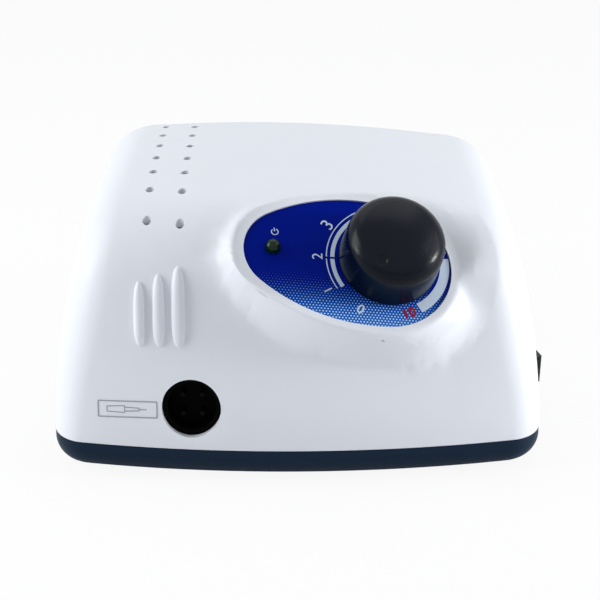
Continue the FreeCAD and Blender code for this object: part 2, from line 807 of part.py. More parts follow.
for name, where, radius in (("fuse", FUSE, "fuse_barrel_radius"), ("jack", JACK, "jack_bush_radius")):
    hole = sketch_in(housing, name + "_hole", where.multiply(place(V(0, 0, 3))))
    add_circle(hole, "0", "0", radius + " + switch_cutout_gap")
    feature(housing, "Pocket", name + "_hole_cut", hole, "wall + 6")

# Base tray: the hull's form carried on downwards, with a lip inside the housing

def slice_of(name, form, low, high):
    """Keep the part of a form between two heights."""
    box = doc.addObject("Part::Box", name + "_range")
    bind(box, "Length", "width + 60")
    bind(box, "Width", "depth + 60")
    bind(box, "Height", f"({high}) - ({low})")
    box.Placement = place(V(value("-width / 2 - 30"), value("-depth / 2 - 30"), value(low)))
    common = doc.addObject("Part::MultiCommon", name)
    common.Shapes = [form, box]
    doc.recompute()
    return common


def round_foot(name, form, low, radius):
    def foot_edge(at, span):
        return abs(at.z - value(low)) < 0.01
    return rounded(name, form, foot_edge, value(radius))


LIP_IN = "wall + lip_clearance + lip_width"
tray_shell = slice_of("tray_shell", hull_form("tray_outside", "0", "foot_gap"), "foot_gap", "seam_height")
tray_shell = round_foot("tray_shell_foot", tray_shell, "foot_gap", "tray_round")
lip_form = slice_of("lip", hull_form("lip_outside", "wall + lip_clearance", "seam_height - 4"),
                    "seam_height - 3", "seam_height + lip_height")
tray_whole = doc.addObject("Part::MultiFuse", "tray_whole")
tray_whole.Shapes = [tray_shell, lip_form]
tray_room = slice_of("tray_room", hull_form("tray_inside", LIP_IN, "foot_gap + wall"),
                     "foot_gap + wall", "seam_height + lip_height + 2")
tray_room = round_foot("tray_room_foot", tray_room, "foot_gap + wall", "tray_round - wall")
tray_form = doc.addObject("Part::Cut", "tray_form")
tray_form.Base = tray_whole
tray_form.Tool = tray_room

FLOOR = "foot_gap + wall"
FEET = [(f"{a}(width / 2 - foot_inset_x)", f"{b}(depth / 2 - foot_inset_y)") for a in ("", "-") for b in ("", "-")]
CORE_X = "(core_inset - width / 2)"
STRAP_X = "core_width / 2 + strap_gap + strap_thickness + strap_foot / 2"
STRAP = [(f"{CORE_X} + {STRAP_X}", "core_y"), (f"{CORE_X} - ({STRAP_X})", "core_y")]
BOARD_X = f"({CORE_X} + {STRAP_X} + strap_foot / 2 + board_gap + board_width / 2)"
BOARD = [(f"{BOARD_X} {a} (board_width / 2 - board_hole_inset)", f"board_y {b} (board_length / 2 - board_hole_inset)")
         for a in "+-" for b in "+-"]
PILOT = "screw_radius + fit_gap"

tray = piece("base_tray")
tray.BaseFeature = tray_form
layer(tray, "corner_bosses", FLOOR, f"post_foot_height - ({FLOOR})", *[(x, y, "boss_radius") for x, y in CORNERS])
layer(tray, "strap_pads", FLOOR, f"core_rest_height - ({FLOOR})", *[(x, y, "strap_foot / 2") for x, y in STRAP])
layer(tray, "core_pads", FLOOR, f"core_rest_height - ({FLOOR})",
      *[(f"{CORE_X} {a} core_width / 4", "core_y", "8", "core_stack") for a in "+-"])
layer(tray, "board_posts", FLOOR, f"board_rest_height - ({FLOOR})", *[(x, y, "3.2") for x, y in BOARD])
cut(tray, "corner_holes", "0", "post_foot_height + 1", *[(x, y, "screw_hole_radius") for x, y in CORNERS])
cut(tray, "corner_counterbores", "0", "screw_seat_height", *[(x, y, "screw_head_radius + 0.4") for x, y in CORNERS])
cut(tray, "foot_recesses", "0", "foot_gap + foot_recess", *[(x, y, "foot_radius + fit_gap * 2") for x, y in FEET])
cut(tray, "strap_pilots", "foot_gap + 1", "core_rest_height", *[(x, y, PILOT) for x, y in STRAP])
cut(tray, "board_pilots", "board_rest_height - 5", "6", *[(x, y, PILOT) for x, y in BOARD])
cut(tray, "collar_notch", "seam_height", "lip_height + 1",
    ("socket_x", "-depth / 2", "2 * socket_collar_radius + 2", "30"))
slot = cut(tray, "floor_slot", "0", f"{FLOOR} + 1",
           (BOARD_X, "board_y - slot_pitch * (slot_count - 1) / 2", "slot_length", "slot_width"))
repeat(tray, "floor_slots", slot, "V_Axis", "slot_pitch", "slot_count")

feet = piece("rubber_feet")
layer(feet, "foot_pads", "0", "foot_gap + foot_recess", *[(x, y, "foot_radius") for x, y in FEET])


def screws(label, where, seat, points, length, head="screw_head_radius", radius="screw_radius",
           height="screw_head_height"):
    """Make pan-head screws whose heads stand on a seat and whose shanks go down."""
    body = piece(label, where)
    layer(body, "heads", seat, height, *[(x, y, head) for x, y in points])
    layer(body, "shanks", f"{seat} - ({length})", length, *[(x, y, radius) for x, y in points])
    doc.recompute()

    def head_rim(at, span):
        return abs(at.z - value(f"{seat} + {height}")) < 0.01
    soften(body, "head_rims", body.Tip, head_rim, height + " * 0.4")
    cut(body, "slots", f"{seat} + {height} * 0.5", height,
        *[(x, y, head + " * 1.4", head + " * 0.28") for x, y in points])
    return body


UNDER = place(V(), (X_AXIS, 180))
screws("housing_screws", UNDER, "-screw_seat_height", [(x, y) for x, y in CORNERS], "screw_length")

# Label plate, power lamp and the speed control
plate = piece("label_plate", PAD)
plate_sketch = sketch_in(plate, "plate_outline")
bind(plate_sketch, "AttachmentOffset.Base.z", "-label_thickness")
add_teardrop(plate_sketch, "label", "0")
feature(plate, "Pad", "plate", plate_sketch, "label_thickness")
cut(plate, "plate_holes", "-label_thickness * 2", "label_thickness * 4", ("0", "0", "bush_radius + bush_clearance"),
    ("lamp_x", "lamp_y", "lamp_radius + lamp_clearance"))

BACK = "-(label_thickness + wall)"
lamp_place = PAD.multiply(place(V(value("lamp_x"), value("lamp_y"), 0)))
lamp = piece("status_led", lamp_place)
lamp_sketch = sketch_in(lamp, "lens_outline", place(V(), (X_AXIS, 90)))
r, rise, back = value("lamp_radius"), value("lamp_rise"), value(BACK)
flange_r, flange_z = value("lamp_flange_radius"), back - value("lamp_flange")
outline = [V(0, flange_z, 0), V(flange_r, flange_z, 0), V(flange_r, back, 0), V(r, back, 0), V(r, rise, 0)]
lamp_sketch.addGeometry([Part.LineSegment(a, b) for a, b in zip(outline, outline[1:])], False)
lamp_sketch.addGeometry([Part.Arc(V(r, rise, 0), V(r * sin(pi / 4), rise + r * sin(pi / 4), 0), V(0, rise + r, 0)),
                         Part.LineSegment(V(0, rise + r, 0), outline[0])], False)
for number in range(6):
    lamp_sketch.addConstraint(Sketcher.Constraint("Coincident", number, 2, (number + 1) % 6, 1))
lens = feature(lamp, "Revolution", "lens", lamp_sketch, Angle=360)
lens.ReferenceAxis = (lamp_sketch, ["V_Axis"])
layer(lamp, "leads", BACK + " - lamp_flange - lamp_lead_length", "lamp_lead_length",
      *[(x, "0", "lamp_lead_width", "lamp_lead_width") for x in ("lamp_lead_spacing / 2", "-lamp_lead_spacing / 2")])

holder = piece("led_holder", lamp_place)
bore, seat = "lamp_flange_radius + fit_gap * 2", BACK + " - lamp_flange - fit_gap * 2"
turn(holder, "sleeve", [(bore, BACK), (f"{bore} + holder_wall", BACK),
                        (f"{bore} + holder_wall", BACK + " - holder_length"),
                        ("lamp_radius", BACK + " - holder_length"), ("lamp_radius", seat), (bore, seat)])

pot = piece("potentiometer_body", PAD)
shaft_bore = "shaft_radius + shaft_clearance"
turn(pot, "can", [(shaft_bore, "bush_length"), ("bush_radius", "bush_length"), ("bush_radius", BACK),
                  ("pot_radius", BACK), ("pot_radius", BACK + " - pot_depth"), ("0", BACK + " - pot_depth"),
                  ("0", "-shaft_depth - 0.3"), (shaft_bore, "-shaft_depth - 0.3")])
layer(pot, "terminal_board", BACK + " - 5", "1.6", ("0", "pot_radius + 1.5", "14", "7"))
layer(pot, "lugs", BACK + " - 4.6", "lug_thickness",
      *[(x, "pot_radius + 6", "1.6", "6") for x in ("-5", "0", "5")])

shaft = piece("potentiometer_shaft", PAD)
layer(shaft, "rod", "-shaft_depth", "shaft_depth + shaft_length", ("0", "0", "shaft_radius"))
cut(shaft, "flat", "knob_hub_gap", "shaft_length", ("0", "shaft_flat + shaft_radius", "shaft_radius * 3", "shaft_radius * 2"))

washer = piece("panel_washer", PAD)
layer(washer, "ring", "0", "washer_thickness", ("0", "0", "washer_radius"), ("0", "0", "bush_radius + fit_gap"))
nut = piece("panel_nut", PAD)
layer(nut, "nut", "washer_thickness", "nut_thickness", hexagon("nut_across"), ("0", "0", "bush_radius + fit_gap"))

knob = piece("speed_knob", PAD)
knob_sketch = sketch_in(knob, "knob_outline", place(V(), (X_AXIS, 90)))
foot_z, shoulder_z, top_z = value("knob_gap"), value("knob_shoulder_height"), value("knob_height")
foot_r, shoulder_r = value("knob_radius"), value("knob_shoulder_radius")
dome = (shoulder_r ** 2 + (top_z - shoulder_z) ** 2) / (2 * (top_z - shoulder_z))
middle = V(shoulder_r / 2, top_z - dome + sqrt(dome ** 2 - shoulder_r ** 2 / 4), 0)
knob_sketch.addGeometry([
    Part.LineSegment(V(0, foot_z, 0), V(foot_r, foot_z, 0)),
    Part.LineSegment(V(foot_r, foot_z, 0), V(shoulder_r, shoulder_z, 0)),
    Part.Arc(V(shoulder_r, shoulder_z, 0), middle, V(0, top_z, 0)),
    Part.LineSegment(V(0, top_z, 0), V(0, foot_z, 0))], False)
for number in range(4):
    knob_sketch.addConstraint(Sketcher.Constraint("Coincident", number, 2, (number + 1) % 4, 1))
knob_form = feature(knob, "Revolution", "knob_form", knob_sketch, Angle=360)
knob_form.ReferenceAxis = (knob_sketch, ["V_Axis"])


def knob_shoulder(at, span):
    return abs(at.z - shoulder_z) < 0.01


soften(knob, "knob_shoulder_round", knob_form, knob_shoulder, "knob_round")
ROOF = "knob_shoulder_height - knob_wall"
INSIDE = "knob_shoulder_radius - knob_wall"
cut(knob, "skirt_room", "0", "knob_hub_gap", ("0", "0", INSIDE))
cut(knob, "hub_room", "0", ROOF, ("0", "0", INSIDE), ("0", "0", "knob_hub_radius"))
cut(knob, "shaft_hole", "0", "shaft_length + 0.4", ("0", "0", shaft_bore))
key = layer(knob, "shaft_key", "knob_hub_gap", "shaft_length + 0.4 - knob_hub_gap",
            ("0", "(shaft_flat + fit_gap + knob_hub_radius * 0.9) / 2", "shaft_radius * 1.7",
             "knob_hub_radius * 0.9 - shaft_flat - fit_gap"))
mark_angle = radians(value("knob_mark_angle"))
mark_x, mark_y = value("knob_mark_offset") * cos(mark_angle), value("knob_mark_offset") * sin(mark_angle)
doc.recompute()
plumb_line = Part.makeLine(V(mark_x, mark_y, 0), V(mark_x, mark_y, top_z + 1))
mark_z = max(vertex.Z for vertex in key.Shape.common(plumb_line).Vertexes)
over_mark = place(V(mark_x, mark_y, mark_z), (Z_AXIS, value("knob_mark_angle")), (Y_AXIS, value("knob_mark_lean")))
mark = sketch_in(knob, "finger_mark", over_mark.multiply(place(V(0, 0, 1))))
add_circle(mark, "0", "0", "knob_mark_radius")
feature(knob, "Pocket", "finger_mark_cut", mark, "knob_mark_depth + 1")

# Motor socket behind the front wall
FACE = "-socket_recess"
SEAT = "-socket_collar_depth"
shell = piece("motor_socket_shell", SOCKET)
disc_back = f"{FACE} - socket_well_depth - socket_disc"
turn(shell, "shell", [
    ("socket_well_radius", FACE), ("socket_radius - socket_clearance", FACE),
    ("socket_radius - socket_clearance", SEAT), ("socket_collar_radius", SEAT),
    ("socket_collar_radius", SEAT + " - socket_flange"), ("socket_barrel_radius", SEAT + " - socket_flange"),
    ("socket_barrel_radius", "-socket_length"), ("socket_well_radius - 1.5", "-socket_length"),
    ("socket_well_radius - 1.5", disc_back), ("socket_well_radius", disc_back)])
cut(shell, "flange_holes", SEAT + " - socket_flange * 2", "socket_flange * 3",
    *[(x, "0", "socket_screw_radius + 0.15") for x in ("socket_screw_circle", "-socket_screw_circle")])
insert = piece("motor_socket_insert", SOCKET)
PINS = [(f"pin_circle * {a}0.70710678", f"pin_circle * {b}0.70710678") for a in ("", "-") for b in ("", "-")]
layer(insert, "disc", disc_back, "socket_disc", ("0", "0", "socket_well_radius - fit_gap"),
      *[(x, y, "pin_radius + fit_gap") for x, y in PINS])
pins = piece("motor_socket_pins", SOCKET)
layer(pins, "pins", disc_back + " - 2", "socket_disc + 2 + pin_length", *[(x, y, "pin_radius") for x, y in PINS])
BEHIND = place(V(), (X_AXIS, 180))
screws("socket_screws", SOCKET.multiply(BEHIND), "socket_collar_depth + socket_flange",
       [("socket_screw_circle", "0"), ("-socket_screw_circle", "0")],
       "socket_screw_length + socket_flange - 0.5", "socket_screw_radius * 2", "socket_screw_radius",
       "socket_screw_radius * 1.3")


# Rocker switches, drawn about their own middle with Y up the wall
def switch(label, where):
    body = piece(label + "_switch_body", where)
    layer(body, "bezel", "0", "switch_bezel", ("0", "0", "switch_width", "switch_length"))
    doc.recompute()

    def bezel_rim(at, span):
        return abs(at.z - value("switch_bezel")) < 0.01
    soften(body, "bezel_edges", body.Tip, bezel_rim, "switch_bezel * 0.4")
    layer(body, "case", "-switch_depth", "switch_depth", ("0", "0", "switch_body_width", "switch_body_length"))
    cut(body, "room", "-rocker_room_depth", "rocker_room_depth + switch_bezel + 1",
        ("0", "0", "rocker_width + 2 * rocker_room", "rocker_room_length"))
    across(body, "pin_holes", "-switch_body_width / 2 - 0.2", "switch_body_width + 0.4",
           ("0", "-rocker_pivot_depth", "rocker_pin_radius + rocker_pin_clearance"), kind="Pocket")
    layer(body, "terminals", "-switch_depth - terminal_length", "terminal_length",
          *[("0", y, "terminal_width", "terminal_thickness") for y in ("-6", "0", "6")])
    rocker = piece(label + "_rocker", where.multiply(
        place(V(0, 0, value("-rocker_pivot_depth")), (X_AXIS, value("rocker_tilt")))))
    half, rise = "rocker_length / 2", "rocker_edge_rise + rocker_pivot_depth"
    across(rocker, "rocker_form", "-rocker_width / 2", "rocker_width", [
        (half, "0"), (half + " - 0.6", rise), ("0", "rocker_middle_rise + rocker_pivot_depth"),
        (f"0.6 - {half}", rise), ("-" + half, "0"), ("-rocker_depth", "-rocker_depth"),
        ("rocker_depth", "-rocker_depth")])
    doc.recompute()

    def rocker_rim(at, span):
        return abs(span.x) > value("rocker_width") - 1 and at.z > 2 and abs(at.y) > 3
    soften(rocker, "rocker_edges", rocker.Tip, rocker_rim, "0.8")
    across(rocker, "pivot", "-switch_body_width / 2 + 0.1", "switch_body_width - 0.2",
           ("0", "0", "rocker_pin_radius"))


for name, where in (("power", POWER), ("direction", DIRECTION), ("selector", SELECTOR)):
    switch(name, where)

# Mains inlet
inlet = piece("mains_inlet_body", INLET)
half_x, half_y, corner = "inlet_cavity_width / 2", "inlet_cavity_height / 2", "4.5"
layer(inlet, "flange", "0", "inlet_flange", ("0", "0", "inlet_width", "inlet_flange_height"))
doc.recompute()


def flange_corner(at, span):
    return abs(span.z) > value("inlet_flange") - 0.01


soften(inlet, "flange_corners", inlet.Tip, flange_corner, "5")
layer(inlet, "case", "-inlet_depth", "inlet_depth", ("0", "0", "inlet_body_width", "inlet_body_height"))
cut(inlet, "cavity", "inlet_flange - inlet_cavity_depth", "inlet_cavity_depth + 1", [
    (half_x, f"{half_y} - {corner}"), (f"{half_x} - {corner}", half_y), (f"{corner} - {half_x}", half_y),
    ("-" + half_x, f"{half_y} - {corner}"), ("-" + half_x, "-" + half_y), (half_x, "-" + half_y)])
BLADES = [("inlet_blade_spacing", "-2"), ("-inlet_blade_spacing", "-2"), ("0", "2")]
cut(inlet, "blade_holes", "-inlet_depth - 1", "inlet_depth",
    *[(x, y, "inlet_blade_thickness + 2 * fit_gap", "inlet_blade_width + 2 * fit_gap") for x, y in BLADES])
INLET_SCREWS = [("inlet_screw_spacing / 2", "0"), ("-inlet_screw_spacing / 2", "0")]
cut(inlet, "screw_holes", "-1", "inlet_flange + 2", *[(x, y, "screw_hole_radius") for x, y in INLET_SCREWS])
blades = piece("mains_inlet_pins", INLET)
layer(blades, "blades", "-inlet_depth", "inlet_depth + inlet_flange - inlet_blade_recess",
      *[(x, y, "inlet_blade_thickness", "inlet_blade_width") for x, y in BLADES])
layer(blades, "tabs", "-inlet_depth - inlet_tab_length", "inlet_tab_length",
      *[(x, y, "terminal_thickness", "inlet_blade_width") for x, y in BLADES])
screws("mains_inlet_screws", INLET, "inlet_flange", INLET_SCREWS, "inlet_flange + wall + 1.5")

# Fuse holder
holder_body = piece("fuse_holder_body", FUSE)
turn(holder_body, "barrel", [
    ("fuse_bore_radius", "fuse_flange"), ("fuse_flange_radius", "fuse_flange"), ("fuse_flange_radius", "0"),
    ("fuse_barrel_radius", "0"), ("fuse_barrel_radius", "-fuse_depth"), ("0", "-fuse_depth"),
    ("0", "-fuse_bore_depth"), ("fuse_bore_radius", "-fuse_bore_depth")])
layer(holder_body, "end_tab", "-fuse_depth - lug_length", "lug_length", ("0", "0", "terminal_width", "terminal_thickness"))
layer(holder_body, "side_tab", "-fuse_depth + 8", "terminal_thickness",
      ("0", "-fuse_barrel_radius - lug_length / 2 + 0.5", "terminal_width", "lug_length + 1"))
fuse_nut = piece("fuse_holder_nut", FUSE)
layer(fuse_nut, "nut", "-wall - fuse_nut_thickness", "fuse_nut_thickness",
      hexagon("fuse_nut_across"), ("0", "0", "fuse_barrel_radius + fit_gap"))
cap = piece("fuse_cap", FUSE)
STEM_TOP = "fuse_flange + fuse_cap_gap"
FUSE_TOP = "-fuse_stem_length + fuse_grip"
turn(cap, "cap", [
    ("0", STEM_TOP + " + fuse_cap_height"), ("fuse_cap_radius - 0.8", STEM_TOP + " + fuse_cap_height"),
    ("fuse_cap_radius", STEM_TOP + " + fuse_cap_height - 0.8"), ("fuse_cap_radius", STEM_TOP),
    ("fuse_bore_radius - shaft_clearance", STEM_TOP), ("fuse_bore_radius - shaft_clearance", "-fuse_stem_length"),
    ("fuse_radius + fit_gap", "-fuse_stem_length"), ("fuse_radius + fit_gap", FUSE_TOP), ("0", FUSE_TOP)])
cut(cap, "coin_slot", STEM_TOP + " + fuse_cap_height - 1.4", "3", ("0", "0", "fuse_cap_radius * 2.2", "fuse_slot"))
link = piece("fuse_link", FUSE)
layer(link, "link", f"{FUSE_TOP} - fuse_length", "fuse_length", ("0", "0", "fuse_radius"))

# Foot control jack
jack = piece("foot_jack_body", JACK)
layer(jack, "case", "-wall - jack_depth", "jack_depth", ("0", "0", "jack_width", "jack_width"))
layer(jack, "bush", "-wall", "wall + jack_bush_rise", ("0", "0", "jack_bush_radius"))
cut(jack, "plug_bore", "jack_bush_rise - jack_bore_depth", "jack_bore_depth + 1", ("0", "0", "jack_bore_radius"))
layer(jack, "lugs", "-wall - jack_depth - lug_length", "lug_length",
      *[(x, "0", "lug_width", "lug_thickness") for x in ("-4.5", "0", "4.5")])
jack_nut = piece("foot_jack_nut", JACK)
turn(jack_nut, "nut", [
    ("jack_bush_radius + fit_gap", "0"), ("jack_nut_radius", "0"), ("jack_nut_radius", "jack_washer_thickness"),
    ("jack_nut_radius - 0.8", "jack_washer_thickness"),
    ("jack_nut_radius - 0.8", "jack_washer_thickness + jack_nut_thickness"),
    ("jack_bush_radius + fit_gap", "jack_washer_thickness + jack_nut_thickness")])

# Transformer on the tray, its coil round the middle leg
CORE = place(V(value(CORE_X), value("core_y"), value("core_rest_height")))
core = piece("transformer_core", CORE)
WINDOW = "core_height - 2 * core_leg"
layer(core, "stack", "0", "core_height", ("0", "0", "core_width", "core_stack"))
windows = sketch_in(core, "windows", place(V(0, value("-core_stack / 2 - 1"), 0), (X_AXIS, 90)))
draw(windows, [(f"{side} * 1.5 * core_leg", "core_height / 2", "core_leg", WINDOW) for side in ("1", "-1")])
feature(core, "Pocket", "window_cut", windows, "core_stack + 2")
bobbin = piece("transformer_bobbin", CORE)
LEG_X, LEG_Y = "2 * core_leg + 2 * bobbin_gap", "core_stack + 2 * bobbin_gap"
TUBE_X, TUBE_Y = f"{LEG_X} + 2 * bobbin_wall", f"{LEG_Y} + 2 * bobbin_wall"
REACH_X, REACH_Y = "4 * core_leg - 2 * bobbin_gap", f"{LEG_Y} + 2 * core_leg - 4 * bobbin_gap"
LOW, HIGH = "core_leg + bobbin_gap", "core_height - core_leg - bobbin_gap"
layer(bobbin, "tube", LOW, f"{HIGH} - ({LOW})", ("0", "0", TUBE_X, TUBE_Y))
layer(bobbin, "lower_flange", LOW, "bobbin_wall", ("0", "0", REACH_X, REACH_Y))
layer(bobbin, "upper_flange", f"{HIGH} - bobbin_wall", "bobbin_wall", ("0", "0", REACH_X, REACH_Y))
cut(bobbin, "leg_room", "0", "core_height", ("0", "0", LEG_X, LEG_Y))
winding = piece("transformer_windings", CORE)
coil = layer(winding, "coil", f"{LOW} + bobbin_wall", f"{HIGH} - ({LOW}) - 2 * bobbin_wall",
             ("0", "0", f"{TUBE_X} + 2 * winding_depth", f"{TUBE_Y} + 2 * winding_depth"))
doc.recompute()


def coil_corner(at, span):
    return abs(span.z) > 10


soften(winding, "coil_corners", coil, coil_corner, "winding_depth * 0.7")
cut(winding, "tube_room", "0", "core_height", ("0", "0", TUBE_X, TUBE_Y))
strap = piece("transformer_frame", CORE)
INNER = "core_width / 2 + strap_gap"
OUTER = f"{INNER} + strap_thickness"
ENDS = f"{OUTER} + strap_foot"
STRAP_TOP = "core_height + strap_gap"
strap_sketch = sketch_in(strap, "strap_outline", place(V(0, value("core_stack / 2 - 2"), 0), (X_AXIS, 90)))
add_polygon(strap_sketch, [
    (INNER, "0"), (ENDS, "0"), (ENDS, "strap_thickness"), (OUTER, "strap_thickness"),
    (OUTER, STRAP_TOP + " + strap_thickness"), (f"-({OUTER})", STRAP_TOP + " + strap_thickness"),
    (f"-({OUTER})", "strap_thickness"), (f"-({ENDS})", "strap_thickness"), (f"-({ENDS})", "0"),
    (f"-({INNER})", "0"), (f"-({INNER})", STRAP_TOP), (INNER, STRAP_TOP)])
feature(strap, "Pad", "strap", strap_sketch, "core_stack - 4")
cut(strap, "strap_holes", "-1", "strap_thickness + 2",
    *[(x, "0", "screw_hole_radius") for x in (STRAP_X, f"-({STRAP_X})")])
screws("transformer_screws", CORE, "strap_thickness", [(STRAP_X, "0"), (f"-({STRAP_X})", "0")],
       "strap_thickness + core_rest_height - foot_gap - 1.4")

# Circuit board with what stands on it
BOARD_AT = place(V(value(BOARD_X), value("board_y"), value("board_rest_height")))
HOLES = [(f"{a}(board_width / 2 - board_hole_inset)", f"{b}(board_length / 2 - board_hole_inset)")
         for a in ("", "-") for b in ("", "-")]
board = piece("circuit_board", BOARD_AT)
layer(board, "board", "0", "board_thickness", ("0", "0", "board_width", "board_length"),
      *[(x, y, "screw_hole_radius") for x, y in HOLES])
screws("board_screws", BOARD_AT, "board_thickness", HOLES, "board_thickness + 4.5")
UP = "board_thickness"
SINK_X = "-board_width / 2 + 12"
sink = piece("heat_sink", BOARD_AT)
layer(sink, "sink_base", UP, "sink_height", (SINK_X, "0", "sink_base", "sink_width"))
fin = layer(sink, "sink_fin", UP, "sink_height",
            (f"{SINK_X} + sink_base / 2 + sink_fin_length / 2 - 0.1", "-sink_width / 2 + sink_fin / 2",
             "sink_fin_length + 0.2", "sink_fin"))
repeat(sink, "sink_fins", fin, "V_Axis", "(sink_width - sink_fin) / (sink_fin_count - 1)", "sink_fin_count")
transistor = piece("power_transistor", BOARD_AT)
layer(transistor, "tab", UP + " + 4", "16", (f"{SINK_X} - sink_base / 2 - 0.65", "0", "1.3", "10"))
layer(transistor, "case", UP + " + 4", "9.2", (f"{SINK_X} - sink_base / 2 - 3.5", "0", "4.6", "10"))
layer(transistor, "legs", UP, "4.2", *[(f"{SINK_X} - sink_base / 2 - 3.8", y, "0.6", "0.8") for y in ("-2.5", "0", "2.5")])
bridge = piece("bridge_rectifier", BOARD_AT)
layer(bridge, "case", UP + " + 2", "10", ("8", "-board_length / 2 + 12", "15", "4"))
layer(bridge, "legs", UP, "2.2", *[(x, "-board_length / 2 + 12", "0.8", "0.8") for x in ("2", "6", "10", "14")])
capacitors = piece("filter_capacitors", BOARD_AT)
layer(capacitors, "cans", UP, "capacitor_height",
      *[(f"{side}capacitor_radius * 1.04", "board_length / 2 - 11.5", "capacitor_radius") for side in ("", "-")])
headers = piece("connector_headers", BOARD_AT)
PLUGS = [("12", "-8"), ("12", "8")]
layer(headers, "shrouds", UP, "8", *[(x, y, "6", "12") for x, y in PLUGS])
cut(headers, "shroud_rooms", UP + " + 1.5", "8", *[(x, y, "4.4", "10.4") for x, y in PLUGS])
layer(headers, "pins", UP + " + 1", "5",
      *[(x, f"{y} + ({step})", "0.8", "0.8") for x, y in PLUGS for step in ("-3", "0", "3")])

doc.recompute()
for item in doc.Objects:
    if {"Invalid", "Error"} & set(item.State):
        raise RuntimeError(f"{item.Label} did not compute: {item.State}")
for item in PIECES:
    if item.Shape.isNull() or not item.Shape.isValid() or not item.Shape.Solids:
        raise RuntimeError(f"{item.Label} has no valid solid")
os.makedirs("parts", exist_ok=True)
for item in PIECES:
    item.Shape.exportStep(f"parts/{item.Label}.step")
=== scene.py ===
"""Finish of a dental micromotor's control unit: moulded shell, printed dial and panel details."""
import json
import math

import bmesh
import bpy
from bpy.props import FloatProperty, FloatVectorProperty, PointerProperty
from mathutils import Matrix, Vector
from mathutils.bvhtree import BVHTree


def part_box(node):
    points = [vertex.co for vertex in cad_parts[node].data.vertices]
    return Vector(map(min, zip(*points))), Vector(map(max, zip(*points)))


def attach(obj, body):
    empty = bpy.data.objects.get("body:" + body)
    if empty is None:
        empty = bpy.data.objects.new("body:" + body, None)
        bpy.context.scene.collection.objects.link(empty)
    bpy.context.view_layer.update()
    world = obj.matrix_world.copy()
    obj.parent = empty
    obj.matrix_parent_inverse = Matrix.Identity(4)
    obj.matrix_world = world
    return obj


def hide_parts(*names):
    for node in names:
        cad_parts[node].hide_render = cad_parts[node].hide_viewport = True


bl_info = {
    "name": "Micromotor Control Unit",
    "version": (1, 0, 0),
    "blender": (4, 5, 0),
    "location": "View3D > Sidebar > Control Unit",
    "description": "Builds the finished surfaces of a bench control unit and its studio",
    "category": "Object",
}

MM = 0.001
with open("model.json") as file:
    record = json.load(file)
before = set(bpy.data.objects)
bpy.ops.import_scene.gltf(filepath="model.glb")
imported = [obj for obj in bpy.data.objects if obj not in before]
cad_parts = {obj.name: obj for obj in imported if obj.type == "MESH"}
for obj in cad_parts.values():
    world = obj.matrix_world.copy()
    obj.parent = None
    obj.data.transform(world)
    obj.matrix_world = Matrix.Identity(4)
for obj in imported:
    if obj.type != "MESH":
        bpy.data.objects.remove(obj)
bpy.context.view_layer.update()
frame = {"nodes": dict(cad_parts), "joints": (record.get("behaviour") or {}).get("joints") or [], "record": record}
nodes = frame["nodes"]
joints = {joint["name"]: joint for joint in frame["joints"]}
mounts = {mount["name"]: mount for mount in frame["record"]["mounts"]}


def local_frame(origin, normal):
    """Return the matrix of a place whose Z leaves the surface and whose X lies level."""
    w = Vector(normal).normalized()
    u = Vector((-w.y, w.x, 0)).normalized()
    turn = Matrix((u, w.cross(u), w)).transposed()
    return Matrix.Translation(Vector(origin)) @ turn.to_4x4()


PAD = local_frame(joints["knob_turn"]["pos_m"], -Vector(joints["knob_turn"]["axis"]))
SOCKET = local_frame(mounts["motor_socket"]["pos_m"], mounts["motor_socket"]["axis"])
REAR_NORMAL = mounts["mains_inlet"]["axis"]


# Selection and small modelling helpers

def pick(obj):
    """Make one object the only selected and active one."""
    bpy.ops.object.select_all(action="DESELECT")
    obj.select_set(True)
    bpy.context.view_layer.objects.active = obj


def apply_place(obj, place=None):
    """Apply an object's own place, or the one given, to its mesh."""
    if place is not None:
        obj.matrix_world = place
    pick(obj)
    bpy.ops.object.transform_apply(location=True, rotation=True, scale=True)


def dress(obj, material):
    obj.data.materials.clear()
    obj.data.materials.append(material)


def settle(obj, name, body, material, replaced=(), smooth=30):
    """Apply a piece's place, dress it and let it ride on a body."""
    apply_place(obj)
    bpy.ops.object.shade_smooth_by_angle(angle=math.radians(smooth))
    obj.name = obj.data.name = name
    dress(obj, material)
    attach(obj, body)
    if replaced:
        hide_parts(*replaced)


def copy_of(name):
    """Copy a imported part's mesh into a new object, with its doubled points merged."""
    obj = bpy.data.objects.new(name + "_shaped", nodes[name].data.copy())
    bpy.context.scene.collection.objects.link(obj)
    pick(obj)
    bpy.ops.mesh.customdata_custom_splitnormals_clear()
    bpy.ops.object.mode_set(mode="EDIT")
    bpy.ops.mesh.select_all(action="SELECT")
    bpy.ops.mesh.remove_doubles(threshold=2e-6)
    bpy.ops.mesh.dissolve_degenerate(threshold=1e-6)
    bpy.ops.object.mode_set(mode="OBJECT")
    return obj


def surface_of(obj):
    """Return a tree that finds where a ray meets an object's mesh."""
    mesh = bmesh.new()
    mesh.from_mesh(obj.data)
    tree = BVHTree.FromBMesh(mesh)
    mesh.free()
    return tree


def press_on(obj, target, direction, lift):
    """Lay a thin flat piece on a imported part, moving its points along a direction."""
    surface = surface_of(target)
    direction = Vector(direction).normalized()
    reach = 20 * MM
    plane = min(vertex.co.dot(direction) for vertex in obj.data.vertices)
    for vertex in obj.data.vertices:
        start = vertex.co - direction * reach
        hit = surface.ray_cast(start, direction)[0]
        if hit is None:
            raise RuntimeError(obj.name + " misses the surface it lies on")
        height = vertex.co.dot(direction) - plane
        vertex.co = hit - direction * (lift * MM + height)


def blend_points(points, at):
    """Read a smooth curve through (place, height) points."""
    if at <= points[0][0]:
        return points[0][1]
    for (x0, y0), (x1, y1) in zip(points, points[1:]):
        if at <= x1:
            share = (at - x0) / (x1 - x0)
            return y0 + (y1 - y0) * share * share * (3 - 2 * share)
    return points[-1][1]


